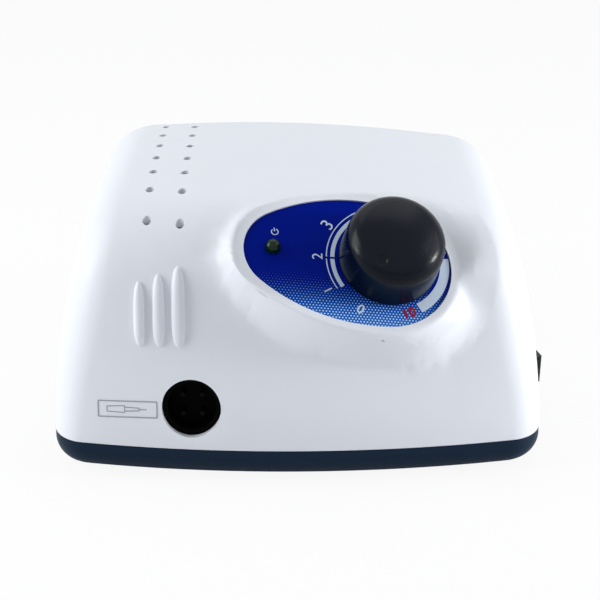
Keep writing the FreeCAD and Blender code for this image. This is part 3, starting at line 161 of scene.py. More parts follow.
# The label's outline on the pad, in millimetres: two round ends and two long arcs

TAIL, TAIL_RADIUS = Vector((-31.8, 7.5)), 15.2
HEAD, HEAD_RADIUS = Vector((-1.5, -1.7)), 22.5
UPPER_RADIUS, LOWER_RADIUS = 57.6, 61.0


def long_side(radius, side):
    """Return the centre and radius of one of the label's two long arcs."""
    gap = HEAD - TAIL
    from_tail, from_head = radius - TAIL_RADIUS, radius - HEAD_RADIUS
    along = (from_tail ** 2 - from_head ** 2 + gap.length ** 2) / (2 * gap.length)
    across = math.sqrt(from_tail ** 2 - along ** 2)
    forward = gap.normalized()
    return TAIL + forward * along + Vector((-forward.y, forward.x)) * across * side, radius


UPPER_SIDE, LOWER_SIDE = long_side(UPPER_RADIUS, -1), long_side(LOWER_RADIUS, 1)


def cross(first, second):
    return first.x * second.y - first.y * second.x


def beyond_label(point):
    """Distance in millimetres from the label's outline, positive outside it."""
    spot = Vector((point.x, point.y))
    above = cross(HEAD - TAIL, spot - TAIL) > 0
    centre, radius = UPPER_SIDE if above else LOWER_SIDE
    turn = -1 if above else 1
    if (cross(TAIL - centre, spot - centre) * turn >= 0
            and cross(spot - centre, HEAD - centre) * turn >= 0):
        return (spot - centre).length - radius
    return min((spot - TAIL).length - TAIL_RADIUS, (spot - HEAD).length - HEAD_RADIUS)


# The grip ribs' places on the front, in millimetres

RIB_COUNT, RIB_X, RIB_PITCH = 3, -52.2, 6.5


def beside_rib(surface, x, z):
    """Find the front's two points half a pitch to either side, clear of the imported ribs."""
    in_front = -150
    return [surface.ray_cast(Vector((x + shift, in_front, z)) * MM, Vector((0, 1, 0)))[0]
            for shift in (-RIB_PITCH / 2, RIB_PITCH / 2)]


# Material building blocks

class Finish:
    """A node material whose patterns read the object's own coordinates, in metres."""

    def __init__(self, name, colour, roughness):
        self.material = bpy.data.materials.new(name)
        self.material.use_nodes = True
        self.tree = self.material.node_tree
        self.shader = self.tree.nodes["Principled BSDF"]
        self.shader.inputs["Base Color"].default_value = (*colour, 1)
        self.shader.inputs["Roughness"].default_value = roughness
        self.coords = self.tree.nodes.new("ShaderNodeTexCoord").outputs["Object"]

    def node(self, kind, *inputs, **settings):
        """Add a node, feeding its inputs in order with numbers or with other nodes' outputs."""
        node = self.tree.nodes.new("ShaderNode" + kind)
        for key, setting in settings.items():
            setattr(node, key, setting)
        for socket, source in zip(node.inputs, inputs):
            self.feed(socket, source)
        return node.outputs[0]

    def feed(self, socket, source):
        if isinstance(source, bpy.types.NodeSocket):
            self.tree.links.new(source, socket)
        else:
            socket.default_value = source

    def math(self, operation, *inputs):
        return self.node("Math", *inputs, operation=operation)

    def noise(self, size, detail=2.0, roughness=0.5):
        """Add a noise whose grains measure about a size in millimetres."""
        node = self.tree.nodes.new("ShaderNodeTexNoise")
        self.feed(node.inputs["Vector"], self.coords)
        node.inputs["Scale"].default_value = 1 / (size * MM)
        node.inputs["Detail"].default_value = detail
        node.inputs["Roughness"].default_value = roughness
        return node.outputs["Fac"]

    def span(self, source, low, high, start, end):
        return self.node("MapRange", source, low, high, start, end)

    def spread(self, noise, start, end):
        """Spread the values that a noise mostly takes over a range."""
        return self.span(noise, 0.3, 0.7, start, end)

    def mix(self, share, first, second):
        node = self.tree.nodes.new("ShaderNodeMix")
        node.data_type = "RGBA"
        self.feed(node.inputs["Factor"], share)
        for socket, source in zip(node.inputs[6:8], (first, second)):
            self.feed(socket, (*source, 1) if isinstance(source, tuple) else source)
        return node.outputs[2]

    def along(self, place, axis):
        """Give the distance in millimetres along one axis of a place's frame."""
        direction = place.to_3x3().col[axis] / MM
        dot = self.tree.nodes.new("ShaderNodeVectorMath")
        dot.operation = "DOT_PRODUCT"
        self.feed(dot.inputs[0], self.coords)
        dot.inputs[1].default_value = direction
        return self.math("SUBTRACT", dot.outputs["Value"], place.translation.dot(direction))

    def relief(self, height, depth):
        """Bump the surface by a height map, its full range being a depth in millimetres."""
        node = self.tree.nodes.new("ShaderNodeBump")
        node.inputs["Distance"].default_value = depth * MM
        node.inputs["Strength"].default_value = 1.0
        self.feed(node.inputs["Height"], height)
        self.feed(self.shader.inputs["Normal"], node.outputs[0])

    def colour(self, source):
        self.feed(self.shader.inputs["Base Color"], source)

    def rough(self, source):
        self.feed(self.shader.inputs["Roughness"], source)

    def gloss(self, **inputs):
        for key, number in inputs.items():
            self.shader.inputs[key.replace("_", " ")].default_value = number
        return self


def dimmed(colour, share):
    return tuple(part * share for part in colour)


def moulded(name, colour, roughness, grain, depth, shift=0.04):
    """Moulded plastic: fine sparked texture, faint mottling and a little wear in the gloss."""
    finish = Finish(name, colour, roughness)
    broad = finish.noise(14, 3)
    finish.colour(finish.mix(broad, dimmed(colour, 1 - shift), colour))
    finish.rough(finish.spread(finish.noise(5, 4), roughness - 0.02, roughness + 0.05))
    finish.relief(finish.noise(grain, 3, 0.6), depth)
    return finish


def metal(name, colour, roughness):
    """Worked metal with fine marks in its gloss."""
    finish = Finish(name, colour, roughness)
    finish.gloss(Metallic=1.0)
    marks = finish.noise(1.2, 5, 0.65)
    finish.rough(finish.spread(marks, roughness * 0.8, roughness * 1.3))
    finish.colour(finish.mix(finish.noise(3, 3), dimmed(colour, 0.9), colour))
    finish.relief(marks, 0.004)
    return finish


# Settings shown in the sidebar

class FinishSettings(bpy.types.PropertyGroup):
    """Colours of the unit's main surfaces."""
    shell: FloatVectorProperty(
        name="Shell", description="Colour of the moulded housing",
        subtype="COLOR", default=(0.80, 0.83, 0.89))
    tray: FloatVectorProperty(
        name="Tray", description="Colour of the base tray",
        subtype="COLOR", default=(0.004, 0.016, 0.037))
    knob: FloatVectorProperty(
        name="Knob", description="Colour of the speed knob",
        subtype="COLOR", default=(0.0006, 0.002, 0.006))
    label_top: FloatVectorProperty(
        name="Label, upper", description="Colour of the label's upper part",
        subtype="COLOR", default=(0.0, 0.009, 0.25))
    label_foot: FloatVectorProperty(
        name="Label, lower", description="Colour of the label's lower edge",
        subtype="COLOR", default=(0.003, 0.11, 0.55))
    ink: FloatVectorProperty(
        name="Ink", description="Colour of the pale print",
        subtype="COLOR", default=(0.62, 0.74, 0.90))
    limit_ink: FloatVectorProperty(
        name="Limit ink", description="Colour of the highest number",
        subtype="COLOR", default=(0.33, 0.002, 0.008))


class DialSettings(bpy.types.PropertyGroup):
    """Sizes of the printed dial."""
    ring_radius: FloatProperty(
        name="Ring radius", description="Radius of the thin outer ring",
        unit="LENGTH", default=20.5 * MM)
    band_radius: FloatProperty(
        name="Band radius", description="Outer radius of the inner band",
        unit="LENGTH", default=19.2 * MM)
    band_width: FloatProperty(
        name="Band width", description="Width of the inner band",
        unit="LENGTH", default=1.4 * MM)
    number_radius: FloatProperty(
        name="Number radius", description="Radius on which the numbers stand",
        unit="LENGTH", default=23.3 * MM)
    dot_pitch: FloatProperty(
        name="Dot pitch", description="Distance between the label's printed dots",
        unit="LENGTH", default=1.07 * MM)


class KnobSettings(bpy.types.PropertyGroup):
    """Sizes of the speed knob's skin."""
    foot_radius: FloatProperty(
        name="Foot radius", description="Radius of the skirt's foot",
        unit="LENGTH", default=16.8 * MM)
    shoulder_radius: FloatProperty(
        name="Shoulder radius", description="Radius below the rounded shoulder",
        unit="LENGTH", default=16.3 * MM)
    height: FloatProperty(
        name="Height", description="Height of the dome above the label",
        unit="LENGTH", default=20.5 * MM)
    round_radius: FloatProperty(
        name="Rounding", description="Radius of the rounded shoulder",
        unit="LENGTH", default=6.6 * MM)
    dimple_radius: FloatProperty(
        name="Dimple radius", description="Radius of the finger dimple",
        unit="LENGTH", default=2.2 * MM)


class StudioSettings(bpy.types.PropertyGroup):
    """Camera and lamps."""
    lens: FloatProperty(
        name="Lens", description="Focal length of the camera in millimetres", default=79.2)
    elevation: FloatProperty(
        name="Elevation", description="Angle at which the camera looks down",
        subtype="ANGLE", default=math.radians(25))
    distance: FloatProperty(
        name="Distance", description="Distance from the camera to the point it looks at",
        unit="LENGTH", default=0.484)
    sky: FloatProperty(
        name="Sky", description="Strength of the even light from all round", default=0.37)
    top_power: FloatProperty(
        name="Top lamp", description="Power of the lamp overhead, in watts", default=1.4)
    side_power: FloatProperty(
        name="Side lamps", description="Power of the large lamps at the sides, in watts",
        default=4.15)
    spark_power: FloatProperty(
        name="Small lamp", description="Power of the small lamp that glints on the knob, in watts",
        default=3.4)


# Finishes of the main surfaces

def shell_finish():
    """Satin white moulding with a barely felt texture."""
    colour = tuple(bpy.context.scene.unit_finish.shell)
    shell = moulded("white moulded shell", colour, 0.40, 0.5, 0.003, 0.012)
    return shell.gloss(Specular_IOR_Level=0.36)


def knob_finish():
    """Satin charcoal moulding whose fine sparked texture glitters in a highlight."""
    colour = tuple(bpy.context.scene.unit_finish.knob)
    knob = Finish("charcoal knob", colour, 0.2)
    knob.gloss(Specular_IOR_Level=0.14)
    knob.relief(knob.noise(0.6, 2, 0.5), 0.045)
    knob.rough(knob.spread(knob.noise(2.4, 3), 0.19, 0.24))
    knob.colour(knob.mix(knob.noise(6, 3), colour, (0.0012, 0.004, 0.011)))
    return knob


def lamp_finish():
    """Dark green lens of the lamp, as it looks unlit."""
    lamp = Finish("clear green lens", (0.0006, 0.018, 0.003), 0.08)
    lamp.gloss(Transmission_Weight=0.06, IOR=1.45, Specular_IOR_Level=0.25)
    lamp.rough(lamp.span(lamp.noise(2, 2), 0, 1, 0.06, 0.12))
    return lamp


def glass_finish():
    """Clear glass of the fuse."""
    glass = Finish("clear glass", (0.9, 0.93, 0.95), 0.03)
    glass.gloss(Transmission_Weight=0.9, IOR=1.5)
    glass.rough(glass.span(glass.noise(3, 2), 0, 1, 0.02, 0.06))
    return glass


def label_finish():
    """Screen-printed foil: deep blue that brightens downwards through a field of growing dots."""
    colours = bpy.context.scene.unit_finish
    top, foot = tuple(colours.label_top), tuple(colours.label_foot)
    label = Finish("printed label", top, 0.28)
    label.gloss(Specular_IOR_Level=0.03)
    across, up = label.along(PAD, 0), label.along(PAD, 1)
    slant = label.math("MULTIPLY_ADD", across, 0.19, up)
    shade = label.node("MapRange", slant, -8.0, -25.0, 0.0, 1.0, interpolation_type="SMOOTHSTEP")
    ground = label.mix(shade, top, foot)
    gap, pitch = dot_lattice(label, across, up)
    dots_from, strongest_at, largest_at = -4.0, -20.0, -24.0
    size = label.span(slant, dots_from, largest_at, 0.06 * pitch, 0.35 * pitch)
    soft_edge = 0.08
    dot = label.span(label.math("SUBTRACT", size, gap), 0.0, soft_edge, 0.0, 1.0)
    strength = label.math("MULTIPLY", dot, label.span(slant, dots_from, strongest_at, 0.0, 1.0))
    label.colour(label.mix(strength, ground, (0.42, 0.68, 0.92)))
    label.rough(label.spread(label.noise(4, 3), 0.29, 0.35))
    label.relief(label.noise(1.1, 2), 0.0015)
    return label


def dot_lattice(label, across, up):
    """Give the distance to the nearest point of a turned triangular lattice, and its pitch."""
    pitch = bpy.context.scene.unit_dial.dot_pitch / MM
    turn = math.radians(-12)
    column = label.math("MULTIPLY_ADD", across, math.cos(turn),
                        label.math("MULTIPLY", up, math.sin(turn)))
    row = label.math("MULTIPLY_ADD", across, -math.sin(turn),
                     label.math("MULTIPLY", up, math.cos(turn)))
    nearest = []
    for shift in (0, 0.5):
        x = label.math("PINGPONG", label.math("ADD", column, shift * pitch), pitch / 2)
        y = label.math("PINGPONG", label.math("ADD", row, shift * pitch * math.sqrt(3)),
                       pitch * math.sqrt(3) / 2)
        square = label.math("MULTIPLY_ADD", x, x, label.math("MULTIPLY", y, y))
        nearest.append(label.math("SQRT", square))
    return label.math("MINIMUM", *nearest), pitch


def ink_finish(name, colour):
    """Slightly uneven printing ink."""
    ink = Finish(name, colour, 0.4)
    ink.gloss(Specular_IOR_Level=0.3)
    ink.colour(ink.mix(ink.noise(0.4, 3), dimmed(colour, 0.9), colour))
    ink.rough(ink.spread(ink.noise(0.8, 2), 0.36, 0.46))
    return ink


# Operators, one for each group of pieces

class PaintPackedParts(bpy.types.Operator):
    """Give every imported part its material"""
    bl_idname = "control_unit.paint_packed_parts"
    bl_label = "Packed parts"

    def execute(self, context):
        tray = tuple(context.scene.unit_finish.tray)
        black = moulded("satin black plastic", (0.006, 0.006, 0.007), 0.34, 0.35, 0.006)
        looks = {
            "base": moulded("navy moulded plastic", tray, 0.36, 0.45, 0.010).gloss(
                Specular_IOR_Level=0.12),
            "rubber": moulded("black rubber", (0.014, 0.014, 0.015), 0.75, 0.3, 0.03),
            "steel": metal("bright steel", (0.62, 0.62, 0.64), 0.2),
            "zinc": metal("plain zinc plate", (0.55, 0.56, 0.58), 0.37),
            "brass": metal("bright brass", (0.72, 0.48, 0.17), 0.2),
            "black_plastic": black.gloss(Specular_IOR_Level=0.25),
            "white_plastic": moulded("natural nylon", (0.72, 0.70, 0.62), 0.45, 0.4, 0.01),
            "copper": metal("enamelled copper", (0.50, 0.17, 0.06), 0.37),
            "iron": moulded("varnished core sheets", (0.03, 0.03, 0.033), 0.4, 0.5, 0.03),
            "board": moulded("green solder mask", (0.01, 0.09, 0.03), 0.32, 0.8, 0.01),
            "aluminium": metal("extruded aluminium", (0.68, 0.69, 0.71), 0.38),
            "can": moulded("capacitor sleeve", (0.01, 0.012, 0.03), 0.32, 0.5, 0.004),
            "housing": shell_finish(), "label": label_finish(), "knob": knob_finish(),
            "lamp": lamp_finish(), "clear_glass": glass_finish(),
        }
        for row in frame["record"]["subparts"]:
            dress(nodes[row["node"]], looks[row["material_slot"]].material)
        # Painted shade: the pins are coloured near black for the shade inside the deep socket, not for a finish of
        # their own. The insert and shell are black plastic, darkened further and dulled as painted shade of the
        # hole.
        pins_painted_shade = metal("contact pins painted with socket shade", (0.006, 0.006, 0.005), 0.45)
        dress(nodes["motor_socket_pins"], pins_painted_shade.material)
        socket_painted_shade = moulded("black socket plastic with painted hole shade", (0.0012, 0.0012, 0.0014), 0.5, 0.4, 0.01)
        socket_painted_shade.gloss(Specular_IOR_Level=0.03)
        for name in ("motor_socket_insert", "motor_socket_shell"):
            dress(nodes[name], socket_painted_shade.material)
        for node in nodes.values():
            pick(node)
            bpy.ops.object.shade_smooth_by_angle(angle=math.radians(25))
        return {"FINISHED"}


class ShapeHousing(bpy.types.Operator):
    """Shape the housing: soft bead and valley round the label, soft mound, fine seam edge"""
    bl_idname = "control_unit.shape_housing"
    bl_label = "Housing shell"

    # All in millimetres, the skin's bounds in the pad's frame
    SKIN_NEAR, SKIN_FAR = 0.05, 16.0
    SKIN_LEFT, SKIN_RIGHT, SKIN_LOW, SKIN_HIGH = -70, 45, -36, 14
    SLIVER, FINE_EDGE, COARSE_EDGE, FINE_REACH = 0.05, 0.8, 1.5, 8
    LIP_REACH = -16
    # Where the smoothing starts, from the outline and past the crest
    SOFT_FROM, BLEND_FROM = 0.8, 1.0
    SEAM_HEIGHT, CHAMFER = 12.3, 0.3
    RIBS_LOW, RIBS_HIGH, RIBS_BEFORE, PACKED_RISE = 42, 78, -25, 3.0
    # The way that the label's pointed end faces, in degrees
    TAIL_WAY = 155

    def execute(self, context):
        shell = copy_of("upper_housing")
        mesh = bmesh.new()
        mesh.from_mesh(shell.data)
        self.lower_ribs(mesh)
        self.refine(mesh)
        self.form_lip(mesh)
        self.soften(mesh)
        self.ease_seam(mesh)
        mesh.to_mesh(shell.data)
        mesh.free()
        settle(shell, "housing_shell", "housing", shell_finish().material,
               ["upper_housing"], 32)
        return {"FINISHED"}

    def lower_ribs(self, mesh):
        """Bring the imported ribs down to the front, where the finished ribs stand on it."""
        surface = surface_of(nodes["upper_housing"])
        for vertex in mesh.verts:
            x, y, z = vertex.co / MM
            number = round((x - RIB_X) / RIB_PITCH)
            if not (0 <= number < RIB_COUNT and y < self.RIBS_BEFORE
                    and self.RIBS_LOW < z < self.RIBS_HIGH):
                continue
            middle = RIB_X + RIB_PITCH * number
            left, right = beside_rib(surface, middle, z)
            share = (x - middle + RIB_PITCH / 2) / RIB_PITCH
            flat = (left.y + (right.y - left.y) * share) / MM
            if -self.PACKED_RISE < y - flat < 0.0:
                vertex.co.y = flat * MM

    def surround(self, mesh):
        """Find the skin round the label, with each face's distance from the outline."""
        to_pad = PAD.inverted()
        outward = PAD.to_3x3().col[2]
        least_facing = 0.04
        found = {}
        for face in mesh.faces:
            if face.normal.dot(outward) < least_facing:
                continue
            spot = to_pad @ face.calc_center_median() / MM
            if (self.SKIN_LOW < spot.z < self.SKIN_HIGH
                    and self.SKIN_LEFT < spot.x < self.SKIN_RIGHT):
                away = beyond_label(spot)
                if self.SKIN_NEAR < away < self.SKIN_FAR:
                    found[face] = away
        return found

    def refine(self, mesh):
        """Drop slivers from the skin round the label, then split its long edges."""
        edges = {edge for face in self.surround(mesh) for edge in face.edges}
        bmesh.ops.dissolve_degenerate(mesh, dist=self.SLIVER * MM, edges=list(edges))
        mesh.normal_update()
        for _ in range(5):
            edges = set()
            for face, away in self.surround(mesh).items():
                longest = (self.FINE_EDGE if away < self.FINE_REACH else self.COARSE_EDGE) * MM
                edges.update(edge for edge in face.edges if edge.calc_length() > longest)
            if not edges:
                break
            bmesh.ops.subdivide_edges(mesh, edges=list(edges), cuts=1)
            bmesh.ops.triangulate(mesh, faces=[face for face in mesh.faces
                                               if len(face.verts) > 3])
        skin = self.surround(mesh)
        nearly_flat = 0.2
        edges = [edge for edge in mesh.edges if len(edge.link_faces) == 2
                 and all(face in skin for face in edge.link_faces)
                 and edge.calc_face_angle() < nearly_flat]
        bmesh.ops.beautify_fill(mesh, faces=list(skin), edges=edges)

    def lip(self, spot):
        """Give the lip's height, its crest's distance and the spot's distance from the outline."""
        away = beyond_label(spot)
        step = 0.05
        slope = Vector((beyond_label(spot + Vector((step, 0, 0))) - away,
                        beyond_label(spot + Vector((0, step, 0))) - away)).normalized()
        tail_way = math.radians(self.TAIL_WAY)
        facing = slope.dot(Vector((math.cos(tail_way), math.sin(tail_way))))
        wide = blend_points(((0.1, 0.0), (1.0, 1.0)), facing)
        crest = 2.3 + 1.9 * wide
        top = 0.85 + 0.22 * wide
        valley = 0.62 - 0.12 * wide
        inner = blend_points(((0.1, 0.62), (crest * 0.45, valley), (crest, top)), away)
        height = inner if away < crest else top - (3.0 - 2.2 * wide) * (away - crest) ** 2
        return height, crest, away

    def form_lip(self, mesh):
        """Give the rim its valley and its crest, which is widest at the label's pointed end."""
        to_pad = PAD.inverted()
        for vertex in {vertex for face in self.surround(mesh) for vertex in face.verts}:
            spot = to_pad @ vertex.co / MM
            if spot.z < self.LIP_REACH:
                continue
            height, crest, away = self.lip(spot)
            spot.z = height if away < crest else max(spot.z, height)
            vertex.co = PAD @ (spot * MM)

    def soften(self, mesh):
        """Smooth the skin round the label, most of all where the mound meets the hull."""
        skin = self.surround(mesh)
        to_pad = PAD.inverted()
        near, outer = [], []
        for vertex in {vertex for face in skin for vertex in face.verts}:
            if all(face in skin for face in vertex.link_faces):
                _, crest, away = self.lip(to_pad @ vertex.co / MM)
                if away > self.SOFT_FROM:
                    near.append(vertex)
                if away - crest > self.BLEND_FROM:
                    outer.append(vertex)
        for chosen, rounds in ((near, 5), (outer, 40), (near, 4)):
            self.smooth(mesh, chosen, rounds)
        for _ in range(4):
            mesh.normal_update()
            self.smooth(mesh, self.folded(mesh, skin, near), 4)

    def folded(self, mesh, skin, near):
        """Pick the points at the skin's sharp folds, with their neighbours."""
        sharp = 0.35
        folds = {vertex for edge in mesh.edges if len(edge.link_faces) == 2
                 and all(face in skin for face in edge.link_faces)
                 and edge.calc_face_angle() > sharp for vertex in edge.verts}
        folds |= {edge.other_vert(vertex) for vertex in folds for edge in vertex.link_edges}
        return [vertex for vertex in near if vertex in folds]

    def smooth(self, mesh, chosen, rounds):
        for _ in range(rounds):
            bmesh.ops.smooth_vert(mesh, verts=chosen, factor=0.5, use_axis_x=True,
                                  use_axis_y=True, use_axis_z=True)

    def ease_seam(self, mesh):
        """Chamfer the housing's lower outer edge, which leaves a fine line above the tray."""
        seam = max(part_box("upper_housing")[0].z, self.SEAM_HEIGHT * MM)
        mesh.normal_update()
        edges = []
        for edge in mesh.edges:
            level = all(abs(vertex.co.z - seam) < 0.02 * MM for vertex in edge.verts)
            if len(edge.link_faces) == 2 and level:
                downs = [face.normal.z < -0.9 for face in edge.link_faces]
                walls = [face.normal.dot(face.calc_center_median() * Vector((1, 1, 0))) > 0
                         and abs(face.normal.z) < 0.5 for face in edge.link_faces]
                if any(downs) and any(walls):
                    edges.append(edge)
        bmesh.ops.bevel(mesh, geom=edges, offset=self.CHAMFER * MM, segments=2, profile=0.5,
                        affect="EDGES", clamp_overlap=True)


class ShapeRibs(bpy.types.Operator):
    """Shape the three rounded grip ribs beside the label"""
    bl_idname = "control_unit.shape_ribs"
    bl_label = "Grip ribs"

    # In millimetres; each rib is longer and wider than the one before
    FOOT, LEAD, RISE = 46.2, 2, 1.9
    LENGTH, LONGER, WIDTH, WIDER = 21.6, 2.8, 3.9, 0.4

    def execute(self, context):
        shell = shell_finish().material
        surface = surface_of(nodes["upper_housing"])
        for number in range(RIB_COUNT):
            bpy.ops.object.select_all(action="DESELECT")
            bpy.ops.mesh.primitive_uv_sphere_add(segments=40, ring_count=36, radius=1)
            rib = context.active_object
            base = self.base_line(surface, RIB_X + RIB_PITCH * number)
            length, width = self.LENGTH + self.LONGER * number, self.WIDTH + self.WIDER * number
            for vertex in rib.data.vertices:
                vertex.co = self.shaped(vertex.co, base, length, width)
            pick(rib)
            bpy.ops.object.mode_set(mode="EDIT")
            bpy.ops.mesh.select_all(action="SELECT")
            bpy.ops.mesh.normals_make_consistent(inside=False)
            bpy.ops.object.mode_set(mode="OBJECT")
            settle(rib, f"grip_rib_{number + 1}", "housing", shell, smooth=80)
        return {"FINISHED"}

    def base_line(self, surface, x):
        """Follow the housing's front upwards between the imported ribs."""
        line = []
        for step in range(90):
            sides = beside_rib(surface, x, self.FOOT - self.LEAD + step * 0.5)
            if None in sides:
                break
            line.append((sum(sides, Vector()) / 2, (sides[1] - sides[0]).normalized()))
        return line

    def shaped(self, co, base, length, width):
        """Turn a point of a unit sphere into a point of a rib that follows the front."""
        across = math.copysign(abs(co.x) ** 0.9, co.x) * width / 2 * (1 - 0.12 * co.z)
        along = length * (0.5 + 0.5 * math.copysign(abs(co.z) ** 0.62, co.z)) + self.LEAD
        out = -self.RISE * abs(co.y) if co.y < 0 else co.y * 0.9
        passed = 0
        for (first, side), (second, _) in zip(base, base[1:]):
            step = (second - first).length / MM
            if passed + step >= along:
                break
            passed += step
        climb = (second - first).normalized()
        spot = first + climb * (along - passed) * MM
        return spot + side * across * MM - side.cross(climb) * out * MM


class ShapeKnob(bpy.types.Operator):
    """Shape the speed knob's skin with its soft shoulder and finger dimple"""
    bl_idname = "control_unit.shape_knob"
    bl_label = "Speed knob"

    # In millimetres: dome, gap under the skirt, hollow round the hub
    CROWN, CLEARANCE = 1.5, 0.8
    HUB_RADIUS, HUB_FOOT, CEILING = 5.5, 4.0, 6
    DIMPLE_WAY, DIMPLE_OUT = math.radians(228.8), 12.0
    DIMPLE_PROFILE = ((0, -0.62), (0.55, -0.52), (0.96, 0.0), (1.08, 0.07), (1.35, 0.0))

    def execute(self, context):
        sizes = context.scene.unit_knob
        outline = self.outline(sizes)
        bpy.ops.mesh.primitive_plane_add(size=MM)
        knob = context.active_object
        bpy.ops.object.mode_set(mode="EDIT")
        bpy.ops.mesh.merge(type="CENTER")
        bpy.ops.mesh.select_all(action="SELECT")
        bpy.ops.transform.translate(value=(outline[0][0], 0, outline[0][1]))
        for (x0, z0), (x1, z1) in zip(outline, outline[1:]):
            bpy.ops.mesh.extrude_region_move(
                TRANSFORM_OT_translate={"value": (x1 - x0, 0, z1 - z0)})
        bpy.ops.mesh.select_all(action="SELECT")
        bpy.ops.mesh.spin(steps=128, angle=math.tau, center=(0, 0, 0), axis=(0, 0, 1))
        bpy.ops.mesh.select_all(action="SELECT")
        bpy.ops.mesh.remove_doubles(threshold=1e-6)
        bpy.ops.mesh.normals_make_consistent(inside=False)
        bpy.ops.object.mode_set(mode="OBJECT")
        pick(knob)
        fine = knob.modifiers.new("fine", "SUBSURF")
        fine.levels = fine.render_levels = 1
        bpy.ops.object.modifier_apply(modifier=fine.name)
        self.press_dimple(knob, sizes.dimple_radius)
        knob.matrix_world = PAD
        settle(knob, "speed_knob_skin", "knob", knob_finish().material,
               ["speed_knob"], 50)
        return {"FINISHED"}

    def outline(self, sizes):
        """Draw half of the knob's section, from the hub's hollow round the skirt to the top."""
        foot, shoulder, bend = sizes.foot_radius, sizes.shoulder_radius, sizes.round_radius
        top = sizes.height
        base = self.CLEARANCE * MM
        wall = top - self.CROWN * MM - bend
        hub, hub_foot, ceiling = self.HUB_RADIUS * MM, self.HUB_FOOT * MM, self.CEILING * MM
        points = [(0, hub_foot), (hub, hub_foot), (hub, ceiling), (foot - 2.6 * MM, ceiling),
                  (foot - 2.4 * MM, base + 0.3 * MM), (foot - 2.1 * MM, base),
                  (foot - 0.35 * MM, base), (foot - 0.1 * MM, base + 0.1 * MM),
                  (foot, base + 0.35 * MM)]
        wall_foot, wall_steps, turn_steps = base + 0.5 * MM, 10, 14
        points += [(foot + (shoulder - foot) * step / wall_steps,
                    wall_foot + (wall - wall_foot) * step / wall_steps)
                   for step in range(1, wall_steps + 1)]
        points += [(shoulder - bend * (1 - math.cos(turn)), wall + bend * math.sin(turn))
                   for turn in (math.radians(78) * step / turn_steps
                                for step in range(1, turn_steps + 1))]
        rim, rim_height = points[-1]
        points += [(rim * (1 - step / turn_steps),
                    rim_height + (top - rim_height) * (1 - (1 - step / turn_steps) ** 2))
                   for step in range(1, turn_steps + 1)]
        return points

    def press_dimple(self, knob, radius):
        """Press a shallow round dimple with a faint lip into the dome."""
        out = Vector((math.cos(self.DIMPLE_WAY), math.sin(self.DIMPLE_WAY), 0))
        above = out * self.DIMPLE_OUT * MM + Vector((0, 0, 0.05))
        hit, normal, *_ = surface_of(knob).ray_cast(above, Vector((0, 0, -1)))
        for vertex in knob.data.vertices:
            away = vertex.co - hit
            flat = (away - normal * away.dot(normal)).length / radius
            if vertex.co.z < hit.z - 4 * MM or flat > self.DIMPLE_PROFILE[-1][0]:
                continue
            vertex.co += normal * blend_points(self.DIMPLE_PROFILE, flat) * MM


# Flat printed pieces, drawn in millimetres and as thick as a coat of ink

INK = 0.03


def flat_object(name, build):
    """Make an object from a function that fills a mesh."""
    data = bpy.data.meshes.new(name)
    mesh = bmesh.new()
    build(mesh)
    bmesh.ops.recalc_face_normals(mesh, faces=mesh.faces)
    mesh.to_mesh(data)
    mesh.free()
    obj = bpy.data.objects.new(name, data)
    bpy.context.scene.collection.objects.link(obj)
    return obj


def add_band(mesh, inner, outer, start, end, steps=None):
    """Add a thin band about the origin; a radius may be a function of the share passed."""
    steps = steps or max(2, int(abs(end - start) / 2))
    rings = []
    for step in range(steps + 1):
        share = step / steps
        angle = math.radians(start + (end - start) * share)
        low, high = (radius(share) if callable(radius) else radius for radius in (inner, outer))
        rings.append([
            mesh.verts.new(Vector((radius * math.cos(angle), radius * math.sin(angle), lift)) * MM)
            for radius, lift in ((low, 0.0), (high, 0.0), (high, INK), (low, INK))])
    mesh.faces.new(rings[0])
    mesh.faces.new(reversed(rings[-1]))
    for first, second in zip(rings, rings[1:]):
        for corner in range(4):
            follow = (corner + 1) % 4
            mesh.faces.new((first[corner], second[corner], second[follow], first[follow]))


def add_patch(mesh, points):
    """Add a thin patch with straight sides."""
    low, high = ([mesh.verts.new(Vector((x, y, lift)) * MM) for x, y in points]
                 for lift in (0.0, INK))
    mesh.faces.new(list(reversed(low)))
    mesh.faces.new(high)
    for corner in range(len(points)):
        follow = (corner + 1) % len(points)
        mesh.faces.new((low[corner], low[follow], high[follow], high[corner]))


def add_bar(mesh, start, end, width):
    """Add a straight thin bar between two points."""
    start, end = Vector(start), Vector(end)
    side = Vector((start.y - end.y, end.x - start.x)).normalized() * width / 2
    add_patch(mesh, [start + side, start - side, end - side, end + side])


def number_at(text, radius, angle, size, bold, upright):
    """Write a number about the dial's centre, its head outwards or inwards."""
    bpy.ops.object.text_add()
    obj = bpy.context.active_object
    obj.data.body = text
    obj.data.size = size * MM
    obj.data.offset = bold * MM
    obj.data.align_x = obj.data.align_y = "CENTER"
    obj.data.extrude = INK * MM / 2
    bpy.ops.object.convert(target="MESH")
    obj = bpy.context.active_object
    turn = math.radians(angle + (90 if upright else -90))
    spot = Vector((math.cos(math.radians(angle)), math.sin(math.radians(angle)), 0)) * radius
    spot.z = INK / 2 * MM
    apply_place(obj, PAD @ Matrix.Translation(spot) @ Matrix.Rotation(turn, 4, "Z"))
    bpy.ops.object.mode_set(mode="EDIT")
    bpy.ops.mesh.select_all(action="SELECT")
    bpy.ops.mesh.remove_doubles(threshold=1e-7)
    bpy.ops.mesh.normals_make_consistent(inside=False)
    bpy.ops.object.mode_set(mode="OBJECT")
    return obj


def join(objects):
    bpy.ops.object.select_all(action="DESELECT")
    for obj in objects:
        obj.select_set(True)
    bpy.context.view_layer.objects.active = objects[0]
    bpy.ops.object.join()
    return objects[0]


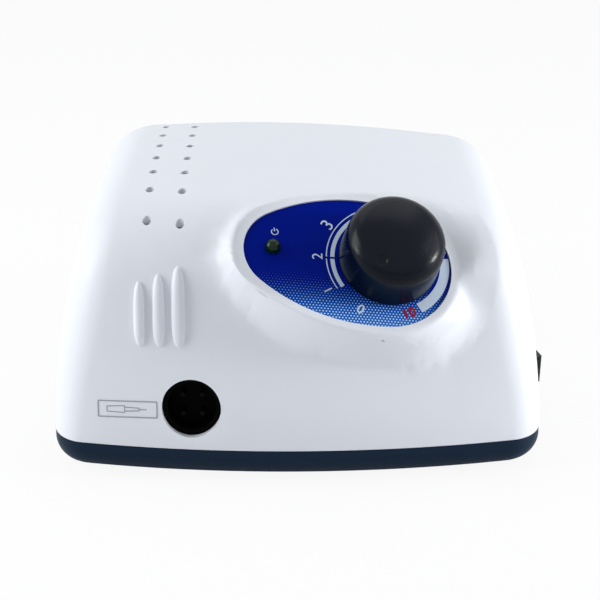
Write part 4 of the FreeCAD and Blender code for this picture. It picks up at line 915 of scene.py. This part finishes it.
class PrintDial(bpy.types.Operator):
    """Print the dial round the knob: ring, growing band and numbers, and the lamp's power symbol"""
    bl_idname = "control_unit.print_dial"
    bl_label = "Printed dial"

    # Angles in degrees: the places of 0 and 10, a number's step, and the gap in the ring
    ZERO, TOP, STEP = 232.0, 278.0, 31.4
    GAP_FROM, GAP_TO = 168.7, 171.1
    HALF_LINE = 0.18
    LAMP_SYMBOL = (-35.4, 15.0, 0)

    def execute(self, context):
        dial, colours = context.scene.unit_dial, context.scene.unit_finish
        lines = flat_object("dial_lines", self.lines)
        apply_place(lines, PAD)
        figures = [number_at("0", 20.9 * MM, self.ZERO, 4.6, 0.07, True)]
        for number, size in ((1, 4.2), (2, 5.0), (3, 6.2)):
            figures.append(number_at(str(number), dial.number_radius,
                                     self.ZERO - self.STEP * number, size, 0.0, False))
        pale = ink_finish("pale ink", tuple(colours.ink)).material
        settle(join([lines, *figures]), "dial_print", "housing", pale)
        limit = number_at("10", 19.9 * MM, self.TOP, 4.8, 0.16, True)
        red = ink_finish("red ink", tuple(colours.limit_ink)).material
        settle(limit, "dial_limit_print", "housing", red)
        symbol = flat_object("power_symbol", self.power_symbol)
        symbol.matrix_world = PAD @ Matrix.Translation(Vector(self.LAMP_SYMBOL) * MM)
        settle(symbol, "power_symbol_print", "housing", pale)
        return {"FINISHED"}

    def lines(self, mesh):
        """Draw the thin ring and the band, which grows towards the highest speed."""
        dial = bpy.context.scene.unit_dial
        ring, band = dial.ring_radius / MM, dial.band_radius / MM
        inner = band - dial.band_width / MM
        line_in, line_out = ring - self.HALF_LINE, ring + self.HALF_LINE
        for low, high, start, end in (
                (line_in, line_out, 203, self.GAP_TO), (line_in, line_out, self.GAP_FROM, 52),
                (inner, band, 204, self.GAP_TO), (inner, band, self.GAP_FROM, 60),
                (lambda share: inner - 0.1 * share, lambda share: band + 1.3 * share, 60, 2),
                (inner - 0.1, lambda share: 20.75 + 0.45 * share, -4, -70)):
            add_band(mesh, low, high, start, end)

    def power_symbol(self, mesh):
        """Draw a broken circle with a bar, which stands above the lamp."""
        add_band(mesh, 0.95, 1.25, 125, 415, 36)
        add_bar(mesh, (0, 0.2), (0, 1.55), 0.3)


class MarkSwitches(bpy.types.Operator):
    """Mark the rockers with bar and ring, arrows and dots"""
    bl_idname = "control_unit.mark_switches"
    bl_label = "Rocker marks"

    # Turns a mark's face to the right wall, with its upper end to the front
    TO_RIGHT_WALL = Matrix(((0, 0, 1), (0, -1, 0), (1, 0, 0))).to_4x4()

    def execute(self, context):
        ink = ink_finish("white switch ink", (0.75, 0.76, 0.78)).material
        for name, symbols in (("power_rocker", self.on_and_off), ("direction_rocker", self.arrows),
                              ("selector_rocker", self.dots)):
            low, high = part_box(name)
            middle = (low + high) / 2
            if name == "selector_rocker":
                place = local_frame(middle, REAR_NORMAL)
            else:
                place = Matrix.Translation(middle) @ self.TO_RIGHT_WALL
            marks = flat_object(name + "_marks", symbols)
            apply_place(marks, place)
            press_on(marks, nodes[name], -place.to_3x3().col[2], 0.0)
            settle(marks, name + "_marks", name, ink)
        return {"FINISHED"}

    def closed_ring(self, mesh, height, inner, outer):
        """Draw a ring whose centre lies at a height."""
        before = set(mesh.verts)
        add_band(mesh, inner, outer, 0, 360, 28)
        new = [vertex for vertex in mesh.verts if vertex not in before]
        bmesh.ops.remove_doubles(mesh, verts=new, dist=1e-7)
        for vertex in mesh.verts:
            if vertex not in before:
                vertex.co.y += height * MM

    def on_and_off(self, mesh):
        add_bar(mesh, (-1.5, 4.9), (1.5, 4.9), 0.55)
        self.closed_ring(mesh, -4.9, 1.05, 1.55)

    def arrows(self, mesh):
        for side in (1, -1):
            add_patch(mesh, [(-1.3, 4.0 * side), (1.3, 4.0 * side), (0, 6.0 * side)][::side])

    def dots(self, mesh):
        self.closed_ring(mesh, 4.9, 0.05, 0.6)
        for x in (-1, 1):
            add_bar(mesh, (x, -5.5), (x, -4.3), 0.8)


class MarkSocket(bpy.types.Operator):
    """Raise a framed picture of a handpiece beside the motor socket, in grey lines that are painted shade of
    engraved grooves
    """
    bl_idname = "control_unit.mark_socket"
    bl_label = "Socket mark"

    # In millimetres: the frame's middle, half its width and height, and its line
    MIDDLE = (-57, -60, 25)
    WIDE, TALL, LINE, THIN_LINE, LIFT = 10.0, 2.75, 0.4, 0.32, 0.08
    HANDPIECE = (((-7, 0.9), (-1, 1.2)), ((-7, -0.9), (-1, -1.2)), ((-7, -0.9), (-7, 0.9)),
                 ((-1, -1.2), (-1, 1.2)), ((-1, 0.7), (4, 0.45)), ((-1, -0.7), (4, -0.45)),
                 ((4, -0.45), (4, 0.45)), ((4, 0), (6.6, 0)))

    def execute(self, context):
        mark = flat_object("socket_mark", self.draw_mark)
        turn = SOCKET.to_3x3()
        apply_place(mark, Matrix.Translation(Vector(self.MIDDLE) * MM) @ turn.to_4x4())
        press_on(mark, nodes["upper_housing"], -turn.col[2], self.LIFT)
        # Painted shade: the lines' grey stands in for the shadow held in an engraved groove.
        groove_shade = moulded("line painted with groove shade", (0.34, 0.36, 0.41), 0.4, 0.5, 0.004)
        settle(mark, "socket_mark", "housing", groove_shade.material)
        return {"FINISHED"}

    def draw_mark(self, mesh):
        """Draw the frame in short lengths, which follow the bowed front, and the handpiece."""
        wide, tall, line = self.WIDE, self.TALL, self.LINE
        for x, y, width, height in ((0, tall, 2 * wide, line), (0, -tall, 2 * wide, line),
                                    (wide, 0, line, 2 * tall), (-wide, 0, line, 2 * tall)):
            columns = max(1, int(width / 1.5))
            for column in range(columns):
                left = x - width / 2 + width * column / columns
                right = x - width / 2 + width * (column + 1) / columns
                add_patch(mesh, [(left, y - height / 2), (right, y - height / 2),
                                 (right, y + height / 2), (left, y + height / 2)])
        for start, end in self.HANDPIECE:
            add_bar(mesh, start, end, self.THIN_LINE)


class BuildStudio(bpy.types.Operator):
    """Set up the floor, the lamps and the camera"""
    bl_idname = "control_unit.build_studio"
    bl_label = "Floor, lamps and camera"

    # What the camera and the lamps are turned to, in metres
    AIM = Vector((0.0008, -0.006, 0.0403))

    def execute(self, context):
        studio = context.scene.unit_studio
        bpy.ops.object.select_all(action="DESELECT")
        bpy.ops.mesh.primitive_plane_add(size=6, location=(0, 0, -0.0002))
        floor = context.active_object
        floor.name = "floor"
        dress(floor, self.paper())
        self.light_world(studio.sky)
        side, spark = studio.side_power, studio.spark_power
        self.add_lamp("top", (0, 0.28, 0.78), (0.9, 0.5), studio.top_power)
        self.add_lamp("left", (-0.75, -0.10, 0.40), (0.45, 0.6), side)
        self.add_lamp("right", (0.75, -0.10, 0.40), (0.45, 0.6), side * 0.42)
        self.add_lamp("right_spark", (0.80, -0.15, 0.20), (0.13, 0.17), spark)
        self.add_lamp("left_spark", (-0.75, -0.22, 0.25), (0.08, 0.12), spark * 0.15)
        down = studio.elevation
        forward = Vector((0, math.cos(down), -math.sin(down)))
        bpy.ops.object.camera_add(location=self.AIM - forward * studio.distance)
        camera = context.active_object
        camera.rotation_euler = (math.pi / 2 - down, 0, 0)
        camera.data.lens = studio.lens
        camera.data.sensor_width = 36
        camera.data.clip_start = 0.01
        context.scene.camera = camera
        context.scene.view_settings.view_transform = "Standard"
        return {"FINISHED"}

    def add_lamp(self, name, place, size, power):
        bpy.ops.object.light_add(type="AREA", location=place)
        lamp = bpy.context.active_object
        lamp.name = name + "_lamp"
        lamp.data.shape = "RECTANGLE"
        lamp.data.size, lamp.data.size_y = size
        lamp.data.energy = power
        lamp.rotation_euler = (self.AIM - Vector(place)).to_track_quat("-Z", "Y").to_euler()

    def paper(self):
        """White paper that the camera sees nearly pure white, with a faint shadow left on it."""
        paper = Finish("white paper floor", (0.86, 0.86, 0.87), 0.7)
        tree, links = paper.tree, paper.tree.links
        ray = tree.nodes.new("ShaderNodeLightPath")
        share = paper.math("MULTIPLY", ray.outputs["Is Camera Ray"], 0.91)
        white = tree.nodes.new("ShaderNodeEmission")
        white.inputs["Color"].default_value = (1, 1, 1, 1)
        mixed = tree.nodes.new("ShaderNodeMixShader")
        links.new(share, mixed.inputs[0])
        links.new(paper.shader.outputs[0], mixed.inputs[1])
        links.new(white.outputs[0], mixed.inputs[2])
        links.new(mixed.outputs[0], tree.nodes["Material Output"].inputs["Surface"])
        return paper.material

    def light_world(self, strength):
        """Even cool light, seen white by the camera and in reflections."""
        world = bpy.data.worlds.new("studio")
        bpy.context.scene.world = world
        world.use_nodes = True
        tree = world.node_tree
        light = tree.nodes["Background"]
        light.inputs["Color"].default_value = (0.93, 0.96, 1.0, 1)
        light.inputs["Strength"].default_value = strength
        seen = tree.nodes.new("ShaderNodeBackground")
        seen.inputs["Color"].default_value = (1, 1, 1, 1)
        ray = tree.nodes.new("ShaderNodeLightPath")
        camera_or_glossy = tree.nodes.new("ShaderNodeMath")
        either = tree.nodes.new("ShaderNodeMath")
        camera_or_glossy.operation = either.operation = "MAXIMUM"
        mixed = tree.nodes.new("ShaderNodeMixShader")
        for source, socket in (
                (ray.outputs["Is Camera Ray"], camera_or_glossy.inputs[0]),
                (ray.outputs["Is Glossy Ray"], camera_or_glossy.inputs[1]),
                (camera_or_glossy.outputs[0], either.inputs[0]),
                (ray.outputs["Is Transmission Ray"], either.inputs[1]),
                (either.outputs[0], mixed.inputs[0]), (light.outputs[0], mixed.inputs[1]),
                (seen.outputs[0], mixed.inputs[2]),
                (mixed.outputs[0], tree.nodes["World Output"].inputs[0])):
            tree.links.new(source, socket)


class ControlUnitPanel(bpy.types.Panel):
    """Lists the settings and the steps that build the unit"""
    bl_idname = "VIEW3D_PT_control_unit"
    bl_label = "Control Unit"
    bl_space_type = "VIEW_3D"
    bl_region_type = "UI"
    bl_category = "Control Unit"

    def draw(self, context):
        for name in GROUPS:
            group = getattr(context.scene, name)
            box = self.layout.box()
            for setting in group.__annotations__:
                box.prop(group, setting)
        for step in STEPS:
            self.layout.operator(step.bl_idname)


GROUPS = {"unit_finish": FinishSettings, "unit_dial": DialSettings, "unit_knob": KnobSettings,
          "unit_studio": StudioSettings}
STEPS = [PaintPackedParts, ShapeHousing, ShapeRibs, ShapeKnob, PrintDial, MarkSwitches, MarkSocket,
         BuildStudio]


def register():
    for item in [*GROUPS.values(), *STEPS, ControlUnitPanel]:
        bpy.utils.register_class(item)
    for name, group in GROUPS.items():
        setattr(bpy.types.Scene, name, PointerProperty(type=group))


def unregister():
    for name in GROUPS:
        delattr(bpy.types.Scene, name)
    for item in reversed([*GROUPS.values(), *STEPS, ControlUnitPanel]):
        bpy.utils.unregister_class(item)


def main():
    register()
    for step in STEPS:
        category, name = step.bl_idname.split(".")
        getattr(getattr(bpy.ops, category), name)()


if __name__ == "__main__":
    main()
